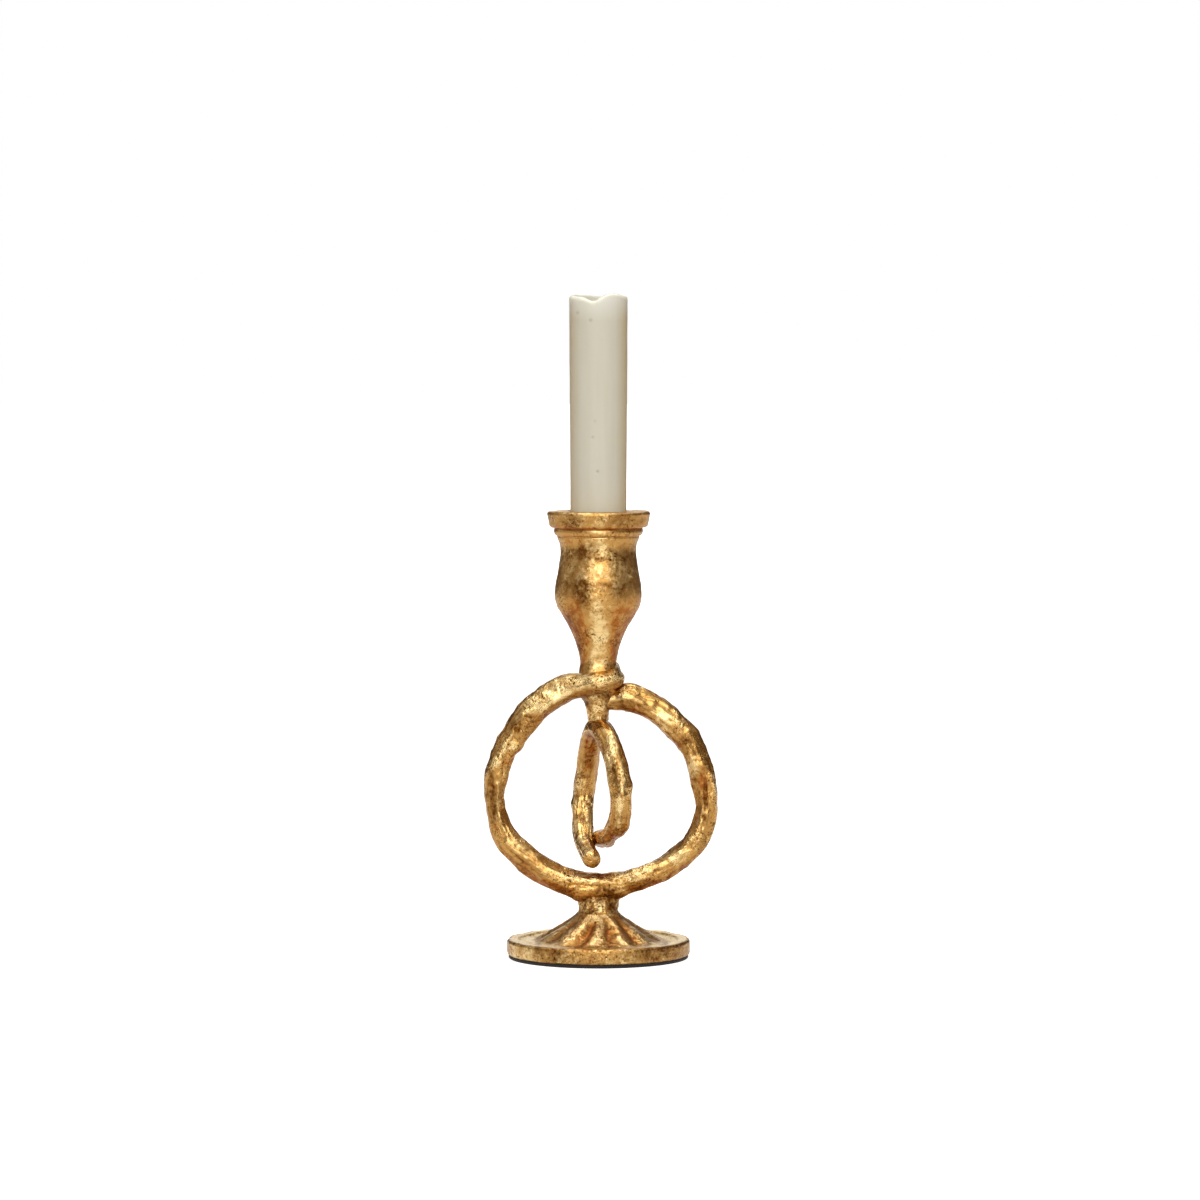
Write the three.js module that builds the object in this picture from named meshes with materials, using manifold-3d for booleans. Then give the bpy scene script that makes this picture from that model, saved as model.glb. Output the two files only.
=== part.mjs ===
// Taper candle holder: a hand-bent ring on a round foot, a candle cup above it and a bent loop inside it.
// Millimetres, +Z up, front towards -Y. The origin is the centre of the pad's underside.
import * as THREE from 'three';
import { mergeVertices } from 'three/addons/utils/BufferGeometryUtils.js';
import Module from 'manifold-3d';

// Fits
const JOINT_GAP = 0.3; // left all round where one piece is coped to another
const THREAD_CLEARANCE = 0.25; // between a screw or stud and its hole, on the radius and past its end
const SOCKET_CLEARANCE = 0.5; // between the candle's base and the cup's socket, on the radius

// Pad and foot
const PAD_THICKNESS = 1.2;
const PAD_INSET = 0.7; // the pad's edge lies this far inside the foot's
const FOOT_RADIUS = 35.1;
const FOOT_EDGE_HEIGHT = 6.1;
const FOOT_EDGE_ROUND = 1.1;
const FOOT_RIM_WIDTH = 4.2; // flat raised rim round the dish
const DISH_DEPTH = 0.9;
const DISH_WIDTH = 6.9; // flat floor of the dish, between the rim and the cone
const FOOT_HEIGHT = 16.3; // underside to the top of the cone
const CONE_SHELF = 0.3; // the cone's top is this much wider than the neck on it, on the radius
const FLUTE_COUNT = 11;
const FLUTE_DEPTH = 0.7;
const FOOT_LAND = 5.5; // flat underside that the pad is glued to
const FOOT_FLOOR = 2.4; // metal left under the dish
const FOOT_CROWN = 7.5; // metal left over the screw's head
const HEAD_ROOM = 0.6; // between the washer's edge and the hollow round it

// The cone's hollow curve from its foot to its top, as shares of its spread and of its height
const CONE_SHAPE = [
  [1, 0],
  [0.84, 0.28],
  [0.5, 0.54],
  [0.23, 0.75],
  [0.07, 0.9],
  [0, 1],
];

// Foot screw and washer
const SCREW_DIAMETER = 5;
const SCREW_HEAD_DIAMETER = 9.2;
const SCREW_HEAD_HEIGHT = 2.6;
const SCREW_HEAD_ROUND = 1; // the head's lower edge is cut back this far
const SCREW_SLOT_WIDTH = 1.2;
const SCREW_SLOT_DEPTH = 1.1;
const SCREW_COVER = 1.2; // metal left between the screw's hole and the ring
const WASHER_DIAMETER = 10.6;
const WASHER_THICKNESS = 0.9;
const THREAD_CHAMFER = 0.5; // on the ends of the screw and the stud

// Neck
const NECK_RADIUS = 6.8;
const NECK_FLARE = 0.5; // the neck's ends are this much wider than its middle
const NECK_RISE = 10.5; // foot's top to the centre of the ring's rod
const NECK_CRADLE = 1.2; // the neck's front and back lips rise this far past the rod's centre

// Ring
const RING_RADIUS = 39.5; // to the centre of the rod
const ROD_DIAMETER = 9.4;
const HAMMER_DEPTH = 0.3; // height of the hammered lumps on the ring and the loop
const HAMMER_PITCH = 17; // their length along the rod
const HAMMER_BLEND = 0.63; // a second set of lumps, longer by this share, breaks up the first
const BOTTOM_REACH = 0.962; // at the neck, as the stations below give it
const BOTTOM_THICKNESS = 0.98;
const EYE_ROD_DIAMETER = 6.2; // the wrapped end is drawn down to this
const EYE_ROOM = 1.5; // between the stud and the eye wrapped round it
const EYE_RISE = 4.2; // the wrapped end climbs this far in half a turn
const EYE_LIFT = 0.7; // the crossing lies this far above the ring's true circle
const START_CLEARANCE = 0.8; // between the rod's start and the eye that passes above it
const START_ANGLE = 79; // where the rod starts, counted as the stations below are
const START_THICKNESS = 0.98;

// The rod is bent by hand. Each station of the hoop gives its angle, counted anticlockwise from the right,
// then its reach as a share of RING_RADIUS and its thickness as a share of ROD_DIAMETER.
const HOOP_STATIONS = [
  [70, 0.91, 1.2],
  [50, 0.935, 1.1],
  [30, 0.963, 1.05],
  [10, 1.005, 1.0],
  [-10, 1.066, 0.89],
  [-30, 1.084, 1.0],
  [-50, 1.028, 0.95],
  [-70, 0.98, 0.95],
  [-90, BOTTOM_REACH, BOTTOM_THICKNESS],
  [-110, 0.985, 1.08],
  [-130, 0.985, 1.12],
  [-150, 1.03, 1.02],
  [-170, 1.018, 0.8],
  [-190, 0.985, 0.95],
  [-210, 0.948, 1.05],
  [-230, 0.975, 1.15],
  [-250, 1.0, 1.12],
];
const SWING_FROM = -210; // from this angle on the rod swings forward to cross the stem
const SWING_OVER = 60; // degrees that the swing takes
const SWING_SHARE = 0.6; // how far it gets in them, as a share of the eye's radius

// The eye starts in front on the left and has a station every EYE_STEP degrees. Each gives what is left of
// the rod's full thickness there: 1 is ROD_DIAMETER and 0 is EYE_ROD_DIAMETER.
const EYE_START = 225;
const EYE_STEP = 45;
const EYE_FRONT = 270;
const EYE_FRONT_DRAW = 0.25;
const EYE_DRAW = [0.8, EYE_FRONT_DRAW, 0, 0, 0, 0, -0.05];

// Candle cup
const STEM_RADIUS = 6.7;
const STEM_LENGTH = 11;
const TAPER_LENGTH = 28; // stem's top to the fullest part of the belly
const BELLY_WALL = 5.2;
const FLOOR_RISE = 4.4; // belly to the socket's floor
const SOCKET_DEPTH = 25;
const SOCKET_CHAMFER = 0.8;
const WAIST_WALL = 2.6;
const WAIST_DROP = 5.3; // bead to the waist
const BEAD_WALL = 5.9;
const BEAD_HEIGHT = 4.3;
const BEAD_SLOPE = 1.7; // the bead's underside slopes in this far
const RIM_WALL = 8.3;
const RIM_HEIGHT = 5.6;
const RIM_DRAFT = 0.8; // the rim is this much narrower at its underside, on the radius
const RIM_ROUND = 0.7;

// The swell from stem to belly, as shares of the taper's length and of the gain in radius
const TAPER_SHAPE = [
  [0.24, 0.16],
  [0.45, 0.42],
  [0.67, 0.77],
  [0.78, 0.93],
];

// Stud and boss under the cup
const STUD_DIAMETER = 4;
const STUD_IN_CUP = 14;
const STUD_COVER = 2.6; // metal left between the stud's hole and the loop
const BOSS_LENGTH = 11.6;
const BOSS_COLLAR = 3.2; // straight part of the boss, before its taper
const BOSS_WAIST = 5.8; // depth at which its taper is drawn in most
const BOSS_WAIST_RADIUS = 5;
const BOSS_END_RADIUS = 4.4;
const BOSS_LAP = 1.8; // the boss laps this far down over the loop's rod

// Loop
const LOOP_CLEARANCE = 2.3; // between the loop's lowest end and the ring's rod under it
const LOOP_DEPTH = 40; // front to back, between the rod's centres
const LOOP_PINCH = 0.27; // share by which it is narrower at the top and wider at the bottom, like a drop
const LOOP_ROD_DIAMETER = 8.7;
const LOOP_TURN = 19; // degrees that its plane is turned from front-and-back
const LOOP_BOW = 1.8; // its sides bow this far out of its plane
const LAP_REAR = 0.48; // sideways offset of the rear end, in rod diameters
const LAP_FRONT = 0.55; // sideways offset of the front end, in rod diameters
const LAP_FROM = 90; // degrees from the loop's top where the ends start to part
const LAP_EASE = 1.2; // power of the curve by which they part
const NUB_TAPER = 0.28; // share by which the rear end is drawn thinner
const FRONT_TAPER = 0.2; // and the front end
const NUB_DROP = 0.92; // the rear end hangs this far below the loop's oval, in rod diameters
const FRONT_DROP = 0.3; // and the front end
const DROP_FROM = 110; // degrees from the loop's top where they start to drop
const DROP_EASE = 1.5; // power of the curve by which they drop
const REAR_SWEEP = 190; // degrees from the loop's top to its rear end
const FRONT_SWEEP = 194; // degrees from the loop's top to its front end, which passes beside the rear one

// Candle and wick
const CANDLE_BASE_DIAMETER = 21.4;
const CANDLE_TOP_DIAMETER = 22.2;
const CANDLE_LENGTH = 106.8;
const CANDLE_BASE_CHAMFER = 1.2;
const CRATER_WALL = 2.2;
const CRATER_DEPTH = 6;
const MELT_REACH = 8; // the melted rim's unevenness fades out this far below it
const MELT_HUMP = 1.4; // the rim stands this much higher on its right
const HUMP_ANGLE = -35;
const HUMP_SPREAD = 40;
const MELT_NOTCH = 1.7; // and dips this much in front
const NOTCH_ANGLE = -98;
const NOTCH_SPREAD = 18;
const WICK_DIAMETER = 1.8;
const WICK_CLEARANCE = 0.25;
const WICK_STUB = 3; // above the crater's floor
const WICK_START = 5; // above the candle's base

// Fineness of the meshes
const ROUND_SEGMENTS = 48;
const COPED_SEGMENTS = 32;
const SMALL_SEGMENTS = 24;
const WICK_SEGMENTS = 12;
const CORNER_STEPS = 3;
const CONE_STEPS = 9;
const NECK_STEPS = 8;
const CUP_STEPS = 18;
const ROD_SIDES = 12;
const RING_STEPS = 104;
const LOOP_STEPS = 60;
const LOOP_STATIONS = 16;
const CAP_BULGE = 0.6; // a rod's rounded end stands out this share of its radius
const CAP_ANGLES = [35, 65];

const radians = THREE.MathUtils.degToRad;

// The foot and the screw up through it
const ceilingZ = FOOT_HEIGHT - FOOT_CROWN;
const bottomRodRadius = (BOTTOM_THICKNESS * ROD_DIAMETER) / 2 + HAMMER_DEPTH;
const screwHoleDepth = NECK_RISE - bottomRodRadius - JOINT_GAP - SCREW_COVER;
const screwHoleRadius = SCREW_DIAMETER / 2 + THREAD_CLEARANCE;

// Heights of the pieces' own origins, stacked from the pad up
const footZ = PAD_THICKNESS;
const neckZ = footZ + FOOT_HEIGHT;
const ringZ = neckZ + NECK_RISE + BOTTOM_REACH * RING_RADIUS;

// The eye, from the ring's centre
const drawnRadius = (share) => (EYE_ROD_DIAMETER + share * (ROD_DIAMETER - EYE_ROD_DIAMETER)) / 2;
const eyeFrontRadius = drawnRadius(EYE_FRONT_DRAW);
const eyeRadius = STUD_DIAMETER / 2 + EYE_ROOM + eyeFrontRadius;
const eyeFrontZ = RING_RADIUS + EYE_LIFT;

// The plane where the cup's stem meets the boss, and what hangs under it and stands on it
const jointZ = ringZ + eyeFrontZ - eyeFrontRadius;
const studHoleRadius = STUD_DIAMETER / 2 + THREAD_CLEARANCE;
const studInBoss = BOSS_LENGTH - BOSS_LAP - STUD_COVER - THREAD_CLEARANCE;
const socketRadius = CANDLE_BASE_DIAMETER / 2 + SOCKET_CLEARANCE;
const socketFloorZ = STEM_LENGTH + TAPER_LENGTH + FLOOR_RISE;
const candleZ = jointZ + socketFloorZ;

// The loop fills the height between the boss and the ring's rod, less its clearance there
const loopTopZ = jointZ - BOSS_LENGTH + BOSS_LAP - JOINT_GAP - LOOP_ROD_DIAMETER / 2;
const nubRadius = (LOOP_ROD_DIAMETER / 2) * (1 - NUB_TAPER);
const nubZ = neckZ + NECK_RISE + bottomRodRadius + LOOP_CLEARANCE + nubRadius;
const nubSpan = (1 - Math.cos(radians(REAR_SWEEP))) / 2;
const loopHeight = (loopTopZ - nubZ - NUB_DROP * LOOP_ROD_DIAMETER) / nubSpan;
const loopZ = loopTopZ - loopHeight / 2;

const wasm = await Module();
wasm.setup();

// A closed geometry as a solid that can be cut
function toSolid(geometry) {
  const bare = geometry.clone();
  bare.deleteAttribute('normal');
  bare.deleteAttribute('uv');
  const merged = mergeVertices(bare, 1e-4);
  const corners = merged.index.array;
  const kept = [];
  for (let i = 0; i < corners.length; i += 3) {
    const [a, b, c] = corners.slice(i, i + 3);
    if (a !== b && b !== c && c !== a) kept.push(a, b, c);
  }
  const vertProperties = new Float32Array(merged.attributes.position.array);
  return new wasm.Manifold(new wasm.Mesh({ numProp: 3, vertProperties, triVerts: new Uint32Array(kept) }));
}

// One geometry with others cut out of it
function cut(geometry, ...tools) {
  const solid = tools.reduce((left, tool) => left.subtract(toSolid(tool)), toSolid(geometry));
  const mesh = solid.getMesh();
  const result = new THREE.BufferGeometry();
  result.setAttribute('position', new THREE.BufferAttribute(new Float32Array(mesh.vertProperties), 3));
  result.setIndex(new THREE.BufferAttribute(new Uint32Array(mesh.triVerts), 1));
  return result;
}

// A profile of [radius, height] points turned round the Z axis
function turned(profile, segments) {
  const points = profile.map(([radius, height]) => new THREE.Vector2(radius, height));
  return new THREE.LatheGeometry(points, segments).rotateX(Math.PI / 2);
}

// Points of a rounded edge about its centre, between two angles in degrees
function corner(radius, height, round, from, to) {
  const points = [];
  for (let i = 0; i <= CORNER_STEPS; i++) {
    const angle = radians(from + ((to - from) * i) / CORNER_STEPS);
    points.push([radius + round * Math.cos(angle), height + round * Math.sin(angle)]);
  }
  return points;
}

// A smooth curve through [radius, height] points
function smooth(points, steps) {
  const curve = new THREE.SplineCurve(points.map(([radius, height]) => new THREE.Vector2(radius, height)));
  return curve.getPoints(steps).map((point) => [point.x, point.y]);
}

// Height of the hammered lumps, by the way along a rod in millimetres and the angle round it
function hammered(along, angle) {
  const phase = (2 * Math.PI * along) / HAMMER_PITCH;
  return (HAMMER_DEPTH * (Math.sin(phase + 2 * angle) + Math.sin(HAMMER_BLEND * phase - 3 * angle))) / 2;
}

// A closed rod through stations of { at, radius }, its ends rounded. It starts with its seam towards side,
// and swell fattens it to make the tool that copes a neighbour.
function rod(stations, steps, side, swell) {
  const path = new THREE.CatmullRomCurve3(stations.map((station) => station.at), false, 'catmullrom', 0.5);
  const girths = stations.map((station) => new THREE.Vector3(station.radius, 0, 0));
  const girth = new THREE.CatmullRomCurve3(girths, false, 'catmullrom', 0.5);
  const length = path.getLength();
  const rings = [];
  let seam = side;
  for (let i = 0; i <= steps; i++) {
    const share = i / steps;
    const ahead = path.getTangent(share);
    seam = seam.clone().addScaledVector(ahead, -seam.dot(ahead)).normalize();
    const radius = girth.getPoint(share).x + swell;
    rings.push({ at: path.getPoint(share), ahead, seam, radius, along: share * length });
  }
  const first = rings[0];
  const last = rings[steps];
  for (const degrees of CAP_ANGLES) {
    const reach = CAP_BULGE * Math.sin(radians(degrees));
    const shrink = Math.cos(radians(degrees));
    const before = first.at.clone().addScaledVector(first.ahead, -first.radius * reach);
    const after = last.at.clone().addScaledVector(last.ahead, last.radius * reach);
    rings.unshift({ ...first, at: before, radius: first.radius * shrink });
    rings.push({ ...last, at: after, radius: last.radius * shrink });
  }
  const positions = [];
  for (const { at, ahead, seam: across, radius, along } of rings) {
    const up = ahead.clone().cross(across);
    for (let j = 0; j < ROD_SIDES; j++) {
      const angle = (2 * Math.PI * j) / ROD_SIDES;
      const reach = radius + hammered(along, angle);
      const point = at.clone().addScaledVector(across, reach * Math.cos(angle));
      positions.push(...point.addScaledVector(up, reach * Math.sin(angle)).toArray());
    }
  }
  const startPole = positions.length / 3;
  positions.push(...first.at.clone().addScaledVector(first.ahead, -first.radius * CAP_BULGE).toArray());
  positions.push(...last.at.clone().addScaledVector(last.ahead, last.radius * CAP_BULGE).toArray());
  const faces = [];
  const lastRing = (rings.length - 1) * ROD_SIDES;
  for (let j = 0; j < ROD_SIDES; j++) {
    const next = (j + 1) % ROD_SIDES;
    faces.push(startPole, next, j);
    faces.push(startPole + 1, lastRing + j, lastRing + next);
    for (let row = 0; row < lastRing; row += ROD_SIDES) {
      faces.push(row + j, row + next, row + ROD_SIDES + next);
      faces.push(row + j, row + ROD_SIDES + next, row + ROD_SIDES + j);
    }
  }
  const geometry = new THREE.BufferGeometry();
  geometry.setAttribute('position', new THREE.Float32BufferAttribute(positions, 3));
  geometry.setIndex(faces);
  return geometry;
}

// Pad: a plain disc, glued under the foot
function padGeometry() {
  const radius = FOOT_RADIUS - PAD_INSET;
  return turned([[0, 0], [radius, 0], [radius, PAD_THICKNESS], [0, PAD_THICKNESS]], ROUND_SEGMENTS);
}

// Foot: rim, dish and fluted cone above, hollow below, bored for the screw
function footGeometry() {
  const edge = FOOT_RADIUS - FOOT_EDGE_ROUND;
  const rimInside = FOOT_RADIUS - FOOT_RIM_WIDTH;
  const dishZ = FOOT_EDGE_HEIGHT - DISH_DEPTH;
  const dishEdge = rimInside - DISH_DEPTH;
  const coneTop = NECK_RADIUS + NECK_FLARE + CONE_SHELF;
  const coneSpread = dishEdge - DISH_WIDTH - coneTop;
  const coneHeight = FOOT_HEIGHT - dishZ;
  const outside = [
    ...corner(edge, FOOT_EDGE_ROUND, FOOT_EDGE_ROUND, -90, 0),
    ...corner(edge, FOOT_EDGE_HEIGHT - FOOT_EDGE_ROUND, FOOT_EDGE_ROUND, 0, 90),
    [rimInside, FOOT_EDGE_HEIGHT],
    [dishEdge, dishZ],
  ];
  const conePoints = CONE_SHAPE.map(([out, up]) => [coneTop + out * coneSpread, dishZ + up * coneHeight]);
  const cone = smooth(conePoints, CONE_STEPS);
  const hollowTop = Math.max(WASHER_DIAMETER, SCREW_HEAD_DIAMETER) / 2 + HEAD_ROOM;
  const hollowFoot = Math.max(hollowTop, coneTop + coneSpread / 2);
  const hollowZ = dishZ - FOOT_FLOOR;
  const landInside = FOOT_RADIUS - FOOT_LAND;
  const underside = [
    [screwHoleRadius, FOOT_HEIGHT],
    [screwHoleRadius, ceilingZ],
    [hollowTop, ceilingZ],
    [hollowFoot, hollowZ],
    [landInside, hollowZ],
    [landInside, 0],
  ];
  const profile = [...outside, ...cone, ...underside, [edge, 0]];
  const geometry = turned(profile, ROUND_SEGMENTS);
  const position = geometry.attributes.position;
  for (let i = 0; i < position.count; i++) {
    const along = ((i % profile.length) - outside.length) / CONE_STEPS;
    if (along > 0 && along < 1) {
      const angle = Math.atan2(position.getY(i), position.getX(i));
      const fold = FLUTE_DEPTH * Math.sin(Math.PI * along) * Math.cos(FLUTE_COUNT * angle + along);
      position.setZ(i, position.getZ(i) + fold);
    }
  }
  return geometry;
}

// Screw: slotted pan head below, shank up through the foot into the neck
function screwGeometry() {
  const head = SCREW_HEAD_DIAMETER / 2;
  const shank = SCREW_DIAMETER / 2;
  const length = WASHER_THICKNESS + FOOT_CROWN + screwHoleDepth - THREAD_CLEARANCE;
  const profile = [
    [0, -SCREW_HEAD_HEIGHT],
    [head - SCREW_HEAD_ROUND, -SCREW_HEAD_HEIGHT],
    [head, SCREW_HEAD_ROUND - SCREW_HEAD_HEIGHT],
    [head, 0],
    [shank, 0],
    [shank, length - THREAD_CHAMFER],
    [shank - THREAD_CHAMFER, length],
    [0, length],
  ];
  const slot = new THREE.BoxGeometry(2 * SCREW_HEAD_DIAMETER, SCREW_SLOT_WIDTH, 2 * SCREW_SLOT_DEPTH);
  return cut(turned(profile, SMALL_SEGMENTS), slot.translate(0, 0, -SCREW_HEAD_HEIGHT));
}

// Washer: a flat ring over the screw's head
function washerGeometry() {
  const inner = screwHoleRadius;
  const outer = WASHER_DIAMETER / 2;
  const top = WASHER_THICKNESS;
  return turned([[inner, 0], [outer, 0], [outer, top], [inner, top], [inner, 0]], SMALL_SEGMENTS);
}

// The ring's stations: its start, the hoop in its plane, then the eye wound up round the stem's axis
function ringStations() {
  const startRadius = (START_THICKNESS * ROD_DIAMETER) / 2;
  const eyeUndersideZ = eyeFrontZ + EYE_RISE / 2 - EYE_ROD_DIAMETER / 2;
  const startZ = eyeUndersideZ - START_CLEARANCE - startRadius;
  const startX = startZ / Math.tan(radians(START_ANGLE));
  const stations = [{ at: new THREE.Vector3(startX, 0, startZ), radius: startRadius }];
  for (const [degrees, reach, thickness] of HOOP_STATIONS) {
    const swing = Math.max(0, (SWING_FROM - degrees) / SWING_OVER);
    const x = reach * RING_RADIUS * Math.cos(radians(degrees));
    const y = -SWING_SHARE * eyeRadius * swing * swing;
    const z = reach * RING_RADIUS * Math.sin(radians(degrees));
    stations.push({ at: new THREE.Vector3(x, y, z), radius: (thickness * ROD_DIAMETER) / 2 });
  }
  EYE_DRAW.forEach((share, i) => {
    const degrees = EYE_START + EYE_STEP * i;
    const x = eyeRadius * Math.cos(radians(degrees));
    const y = eyeRadius * Math.sin(radians(degrees));
    const z = eyeFrontZ + (EYE_RISE * (degrees - EYE_FRONT)) / 180;
    stations.push({ at: new THREE.Vector3(x, y, z), radius: drawnRadius(share) });
  });
  return stations;
}

// Ring: the hand-bent rod, about the hoop's centre
function ringGeometry(swell) {
  return rod(ringStations(), RING_STEPS, new THREE.Vector3(0, 1, 0), swell);
}

// The loop's stations, from the nub at its rear end over the top to its front end
function loopStations(forward, across) {
  const stations = [];
  for (let i = 0; i < LOOP_STATIONS; i++) {
    const degrees = -REAR_SWEEP + ((REAR_SWEEP + FRONT_SWEEP) * i) / (LOOP_STATIONS - 1);
    const angle = radians(degrees);
    const rear = degrees < 0;
    const lap = Math.max(0, (Math.abs(degrees) - LAP_FROM) / (REAR_SWEEP - LAP_FROM)) ** LAP_EASE;
    const drop = Math.max(0, (Math.abs(degrees) - DROP_FROM) / (REAR_SWEEP - DROP_FROM)) ** DROP_EASE;
    const bow = LOOP_BOW * Math.sin(angle) ** 2;
    const offset = bow + (rear ? -LAP_REAR : LAP_FRONT) * LOOP_ROD_DIAMETER * lap;
    const reach = (LOOP_DEPTH / 2) * Math.sin(angle) * (1 - LOOP_PINCH * Math.cos(angle));
    const sunk = (rear ? NUB_DROP : FRONT_DROP) * LOOP_ROD_DIAMETER * drop;
    const height = (loopHeight / 2) * Math.cos(angle) - sunk;
    const at = new THREE.Vector3(0, 0, height);
    at.addScaledVector(forward, reach).addScaledVector(across, offset);
    const taper = (rear ? NUB_TAPER : FRONT_TAPER) * lap;
    stations.push({ at, radius: (LOOP_ROD_DIAMETER / 2) * (1 - taper) });
  }
  return stations;
}

// Loop: the bent rod inside the ring, about its own centre
function loopGeometry(swell) {
  const turn = radians(LOOP_TURN);
  const forward = new THREE.Vector3(Math.sin(turn), -Math.cos(turn), 0);
  const across = new THREE.Vector3(Math.cos(turn), Math.sin(turn), 0);
  return rod(loopStations(forward, across), LOOP_STEPS, across, swell);
}

// The ring and the loop, fattened and set at a piece's own height, as the tools that cope it
const ringTool = (fromZ) => ringGeometry(JOINT_GAP).translate(0, 0, ringZ - fromZ);
const loopTool = (fromZ) => loopGeometry(JOINT_GAP).translate(0, 0, loopZ - fromZ);

// Neck: collar on the foot, coped to cradle the ring, with a blind hole for the screw
function neckGeometry() {
  const flared = NECK_RADIUS + NECK_FLARE;
  const top = NECK_RISE + NECK_CRADLE;
  const waist = [[NECK_RADIUS, top / 3], [NECK_RADIUS, (2 * top) / 3]];
  const side = smooth([[flared, 0], ...waist, [flared, top]], NECK_STEPS);
  const hole = [[0, screwHoleDepth], [screwHoleRadius, screwHoleDepth], [screwHoleRadius, 0]];
  return cut(turned([...hole, ...side, [0, top]], COPED_SEGMENTS), ringTool(neckZ));
}

// Candle cup: one casting from the stem's end to the rim, coped where the ring's eye wraps the stem
function cupGeometry() {
  const belly = socketRadius + BELLY_WALL;
  const bead = socketRadius + BEAD_WALL;
  const rim = socketRadius + RIM_WALL;
  const rimUnder = rim - RIM_DRAFT;
  const rimZ = socketFloorZ + SOCKET_DEPTH;
  const rimUnderZ = rimZ - RIM_HEIGHT;
  const beadUnderZ = rimUnderZ - BEAD_HEIGHT;
  const studHoleZ = STUD_IN_CUP + THREAD_CLEARANCE;
  const swellAt = ([length, gain]) => [
    STEM_RADIUS + gain * (belly - STEM_RADIUS),
    STEM_LENGTH + length * TAPER_LENGTH,
  ];
  const body = smooth(
    [
      [STEM_RADIUS, STEM_LENGTH],
      ...TAPER_SHAPE.map(swellAt),
      [belly, STEM_LENGTH + TAPER_LENGTH],
      [socketRadius + WAIST_WALL, beadUnderZ - WAIST_DROP],
      [bead - BEAD_SLOPE, beadUnderZ],
    ],
    CUP_STEPS,
  );
  const profile = [
    [0, studHoleZ],
    [studHoleRadius, studHoleZ],
    [studHoleRadius, 0],
    [STEM_RADIUS, 0],
    ...body,
    [bead, beadUnderZ + BEAD_HEIGHT / 2],
    [bead, rimUnderZ],
    ...corner(rimUnder - RIM_ROUND, rimUnderZ + RIM_ROUND, RIM_ROUND, -90, 0),
    ...corner(rim - RIM_ROUND, rimZ - RIM_ROUND, RIM_ROUND, 0, 90),
    [socketRadius + SOCKET_CHAMFER, rimZ],
    [socketRadius, rimZ - SOCKET_CHAMFER],
    [socketRadius, socketFloorZ],
    [0, socketFloorZ],
  ];
  return cut(turned(profile, ROUND_SEGMENTS), ringTool(jointZ));
}

// Stud: threaded rod through the eye, part in the cup's stem and part in the boss
function studGeometry() {
  const radius = STUD_DIAMETER / 2;
  const profile = [
    [0, -studInBoss],
    [radius - THREAD_CHAMFER, -studInBoss],
    [radius, THREAD_CHAMFER - studInBoss],
    [radius, STUD_IN_CUP - THREAD_CHAMFER],
    [radius - THREAD_CHAMFER, STUD_IN_CUP],
    [0, STUD_IN_CUP],
  ];
  return turned(profile, SMALL_SEGMENTS);
}

// Boss: tapered end under the crossing, coped to the ring above and to the loop's rod below
function bossGeometry() {
  const holeEnd = -studInBoss - THREAD_CLEARANCE;
  const profile = [
    [0, -BOSS_LENGTH],
    [BOSS_END_RADIUS, -BOSS_LENGTH],
    [BOSS_WAIST_RADIUS, -BOSS_WAIST],
    [STEM_RADIUS, -BOSS_COLLAR],
    [STEM_RADIUS, 0],
    [studHoleRadius, 0],
    [studHoleRadius, holeEnd],
    [0, holeEnd],
  ];
  return cut(turned(profile, COPED_SEGMENTS), ringTool(jointZ), loopTool(jointZ));
}

// How far the candle's melted rim stands above or below its mean, by the angle round it in degrees
function meltAt(degrees) {
  const hump = MELT_HUMP * Math.exp(-(((degrees - HUMP_ANGLE) / HUMP_SPREAD) ** 2));
  const notch = MELT_NOTCH * Math.exp(-(((degrees - NOTCH_ANGLE) / NOTCH_SPREAD) ** 2));
  return hump - notch;
}

// Candle: straight in the socket, then widening a little, with a crater inside an uneven melted rim
function candleGeometry() {
  const base = CANDLE_BASE_DIAMETER / 2;
  const top = CANDLE_TOP_DIAMETER / 2;
  const bore = WICK_DIAMETER / 2 + WICK_CLEARANCE;
  const craterZ = CANDLE_LENGTH - CRATER_DEPTH;
  const straight = [
    [0, 0],
    [base - CANDLE_BASE_CHAMFER, 0],
    [base, CANDLE_BASE_CHAMFER],
    [base, SOCKET_DEPTH],
    [top, CANDLE_LENGTH - MELT_REACH],
  ];
  const melted = [
    [top, CANDLE_LENGTH - CRATER_WALL / 3],
    [top - CRATER_WALL / 4, CANDLE_LENGTH],
    [top - CRATER_WALL * 0.65, CANDLE_LENGTH],
    [top - CRATER_WALL, CANDLE_LENGTH - CRATER_DEPTH / 3],
    [top - CRATER_WALL * 1.5, CANDLE_LENGTH - CRATER_DEPTH * 0.75],
  ];
  const hollow = [
    [top - CRATER_WALL * 2.5, craterZ],
    [bore, craterZ],
    [bore, WICK_START],
    [0, WICK_START],
  ];
  const profile = [...straight, ...melted, ...hollow];
  const geometry = turned(profile, ROUND_SEGMENTS);
  const position = geometry.attributes.position;
  for (let i = 0; i < position.count; i++) {
    const row = (i % profile.length) - straight.length;
    if (row >= 0 && row < melted.length) {
      const degrees = THREE.MathUtils.radToDeg(Math.atan2(position.getY(i), position.getX(i)));
      position.setZ(i, position.getZ(i) + meltAt(degrees));
    }
  }
  return geometry;
}

// Wick: cotton in the candle's bore, its stub standing in the crater
function wickGeometry() {
  const radius = WICK_DIAMETER / 2;
  const start = WICK_START + WICK_CLEARANCE;
  const end = CANDLE_LENGTH - CRATER_DEPTH + WICK_STUB;
  const profile = [[0, start], [radius, start], [radius, end - radius], [radius / 2, end], [0, end]];
  return turned(profile, WICK_SEGMENTS);
}

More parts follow.
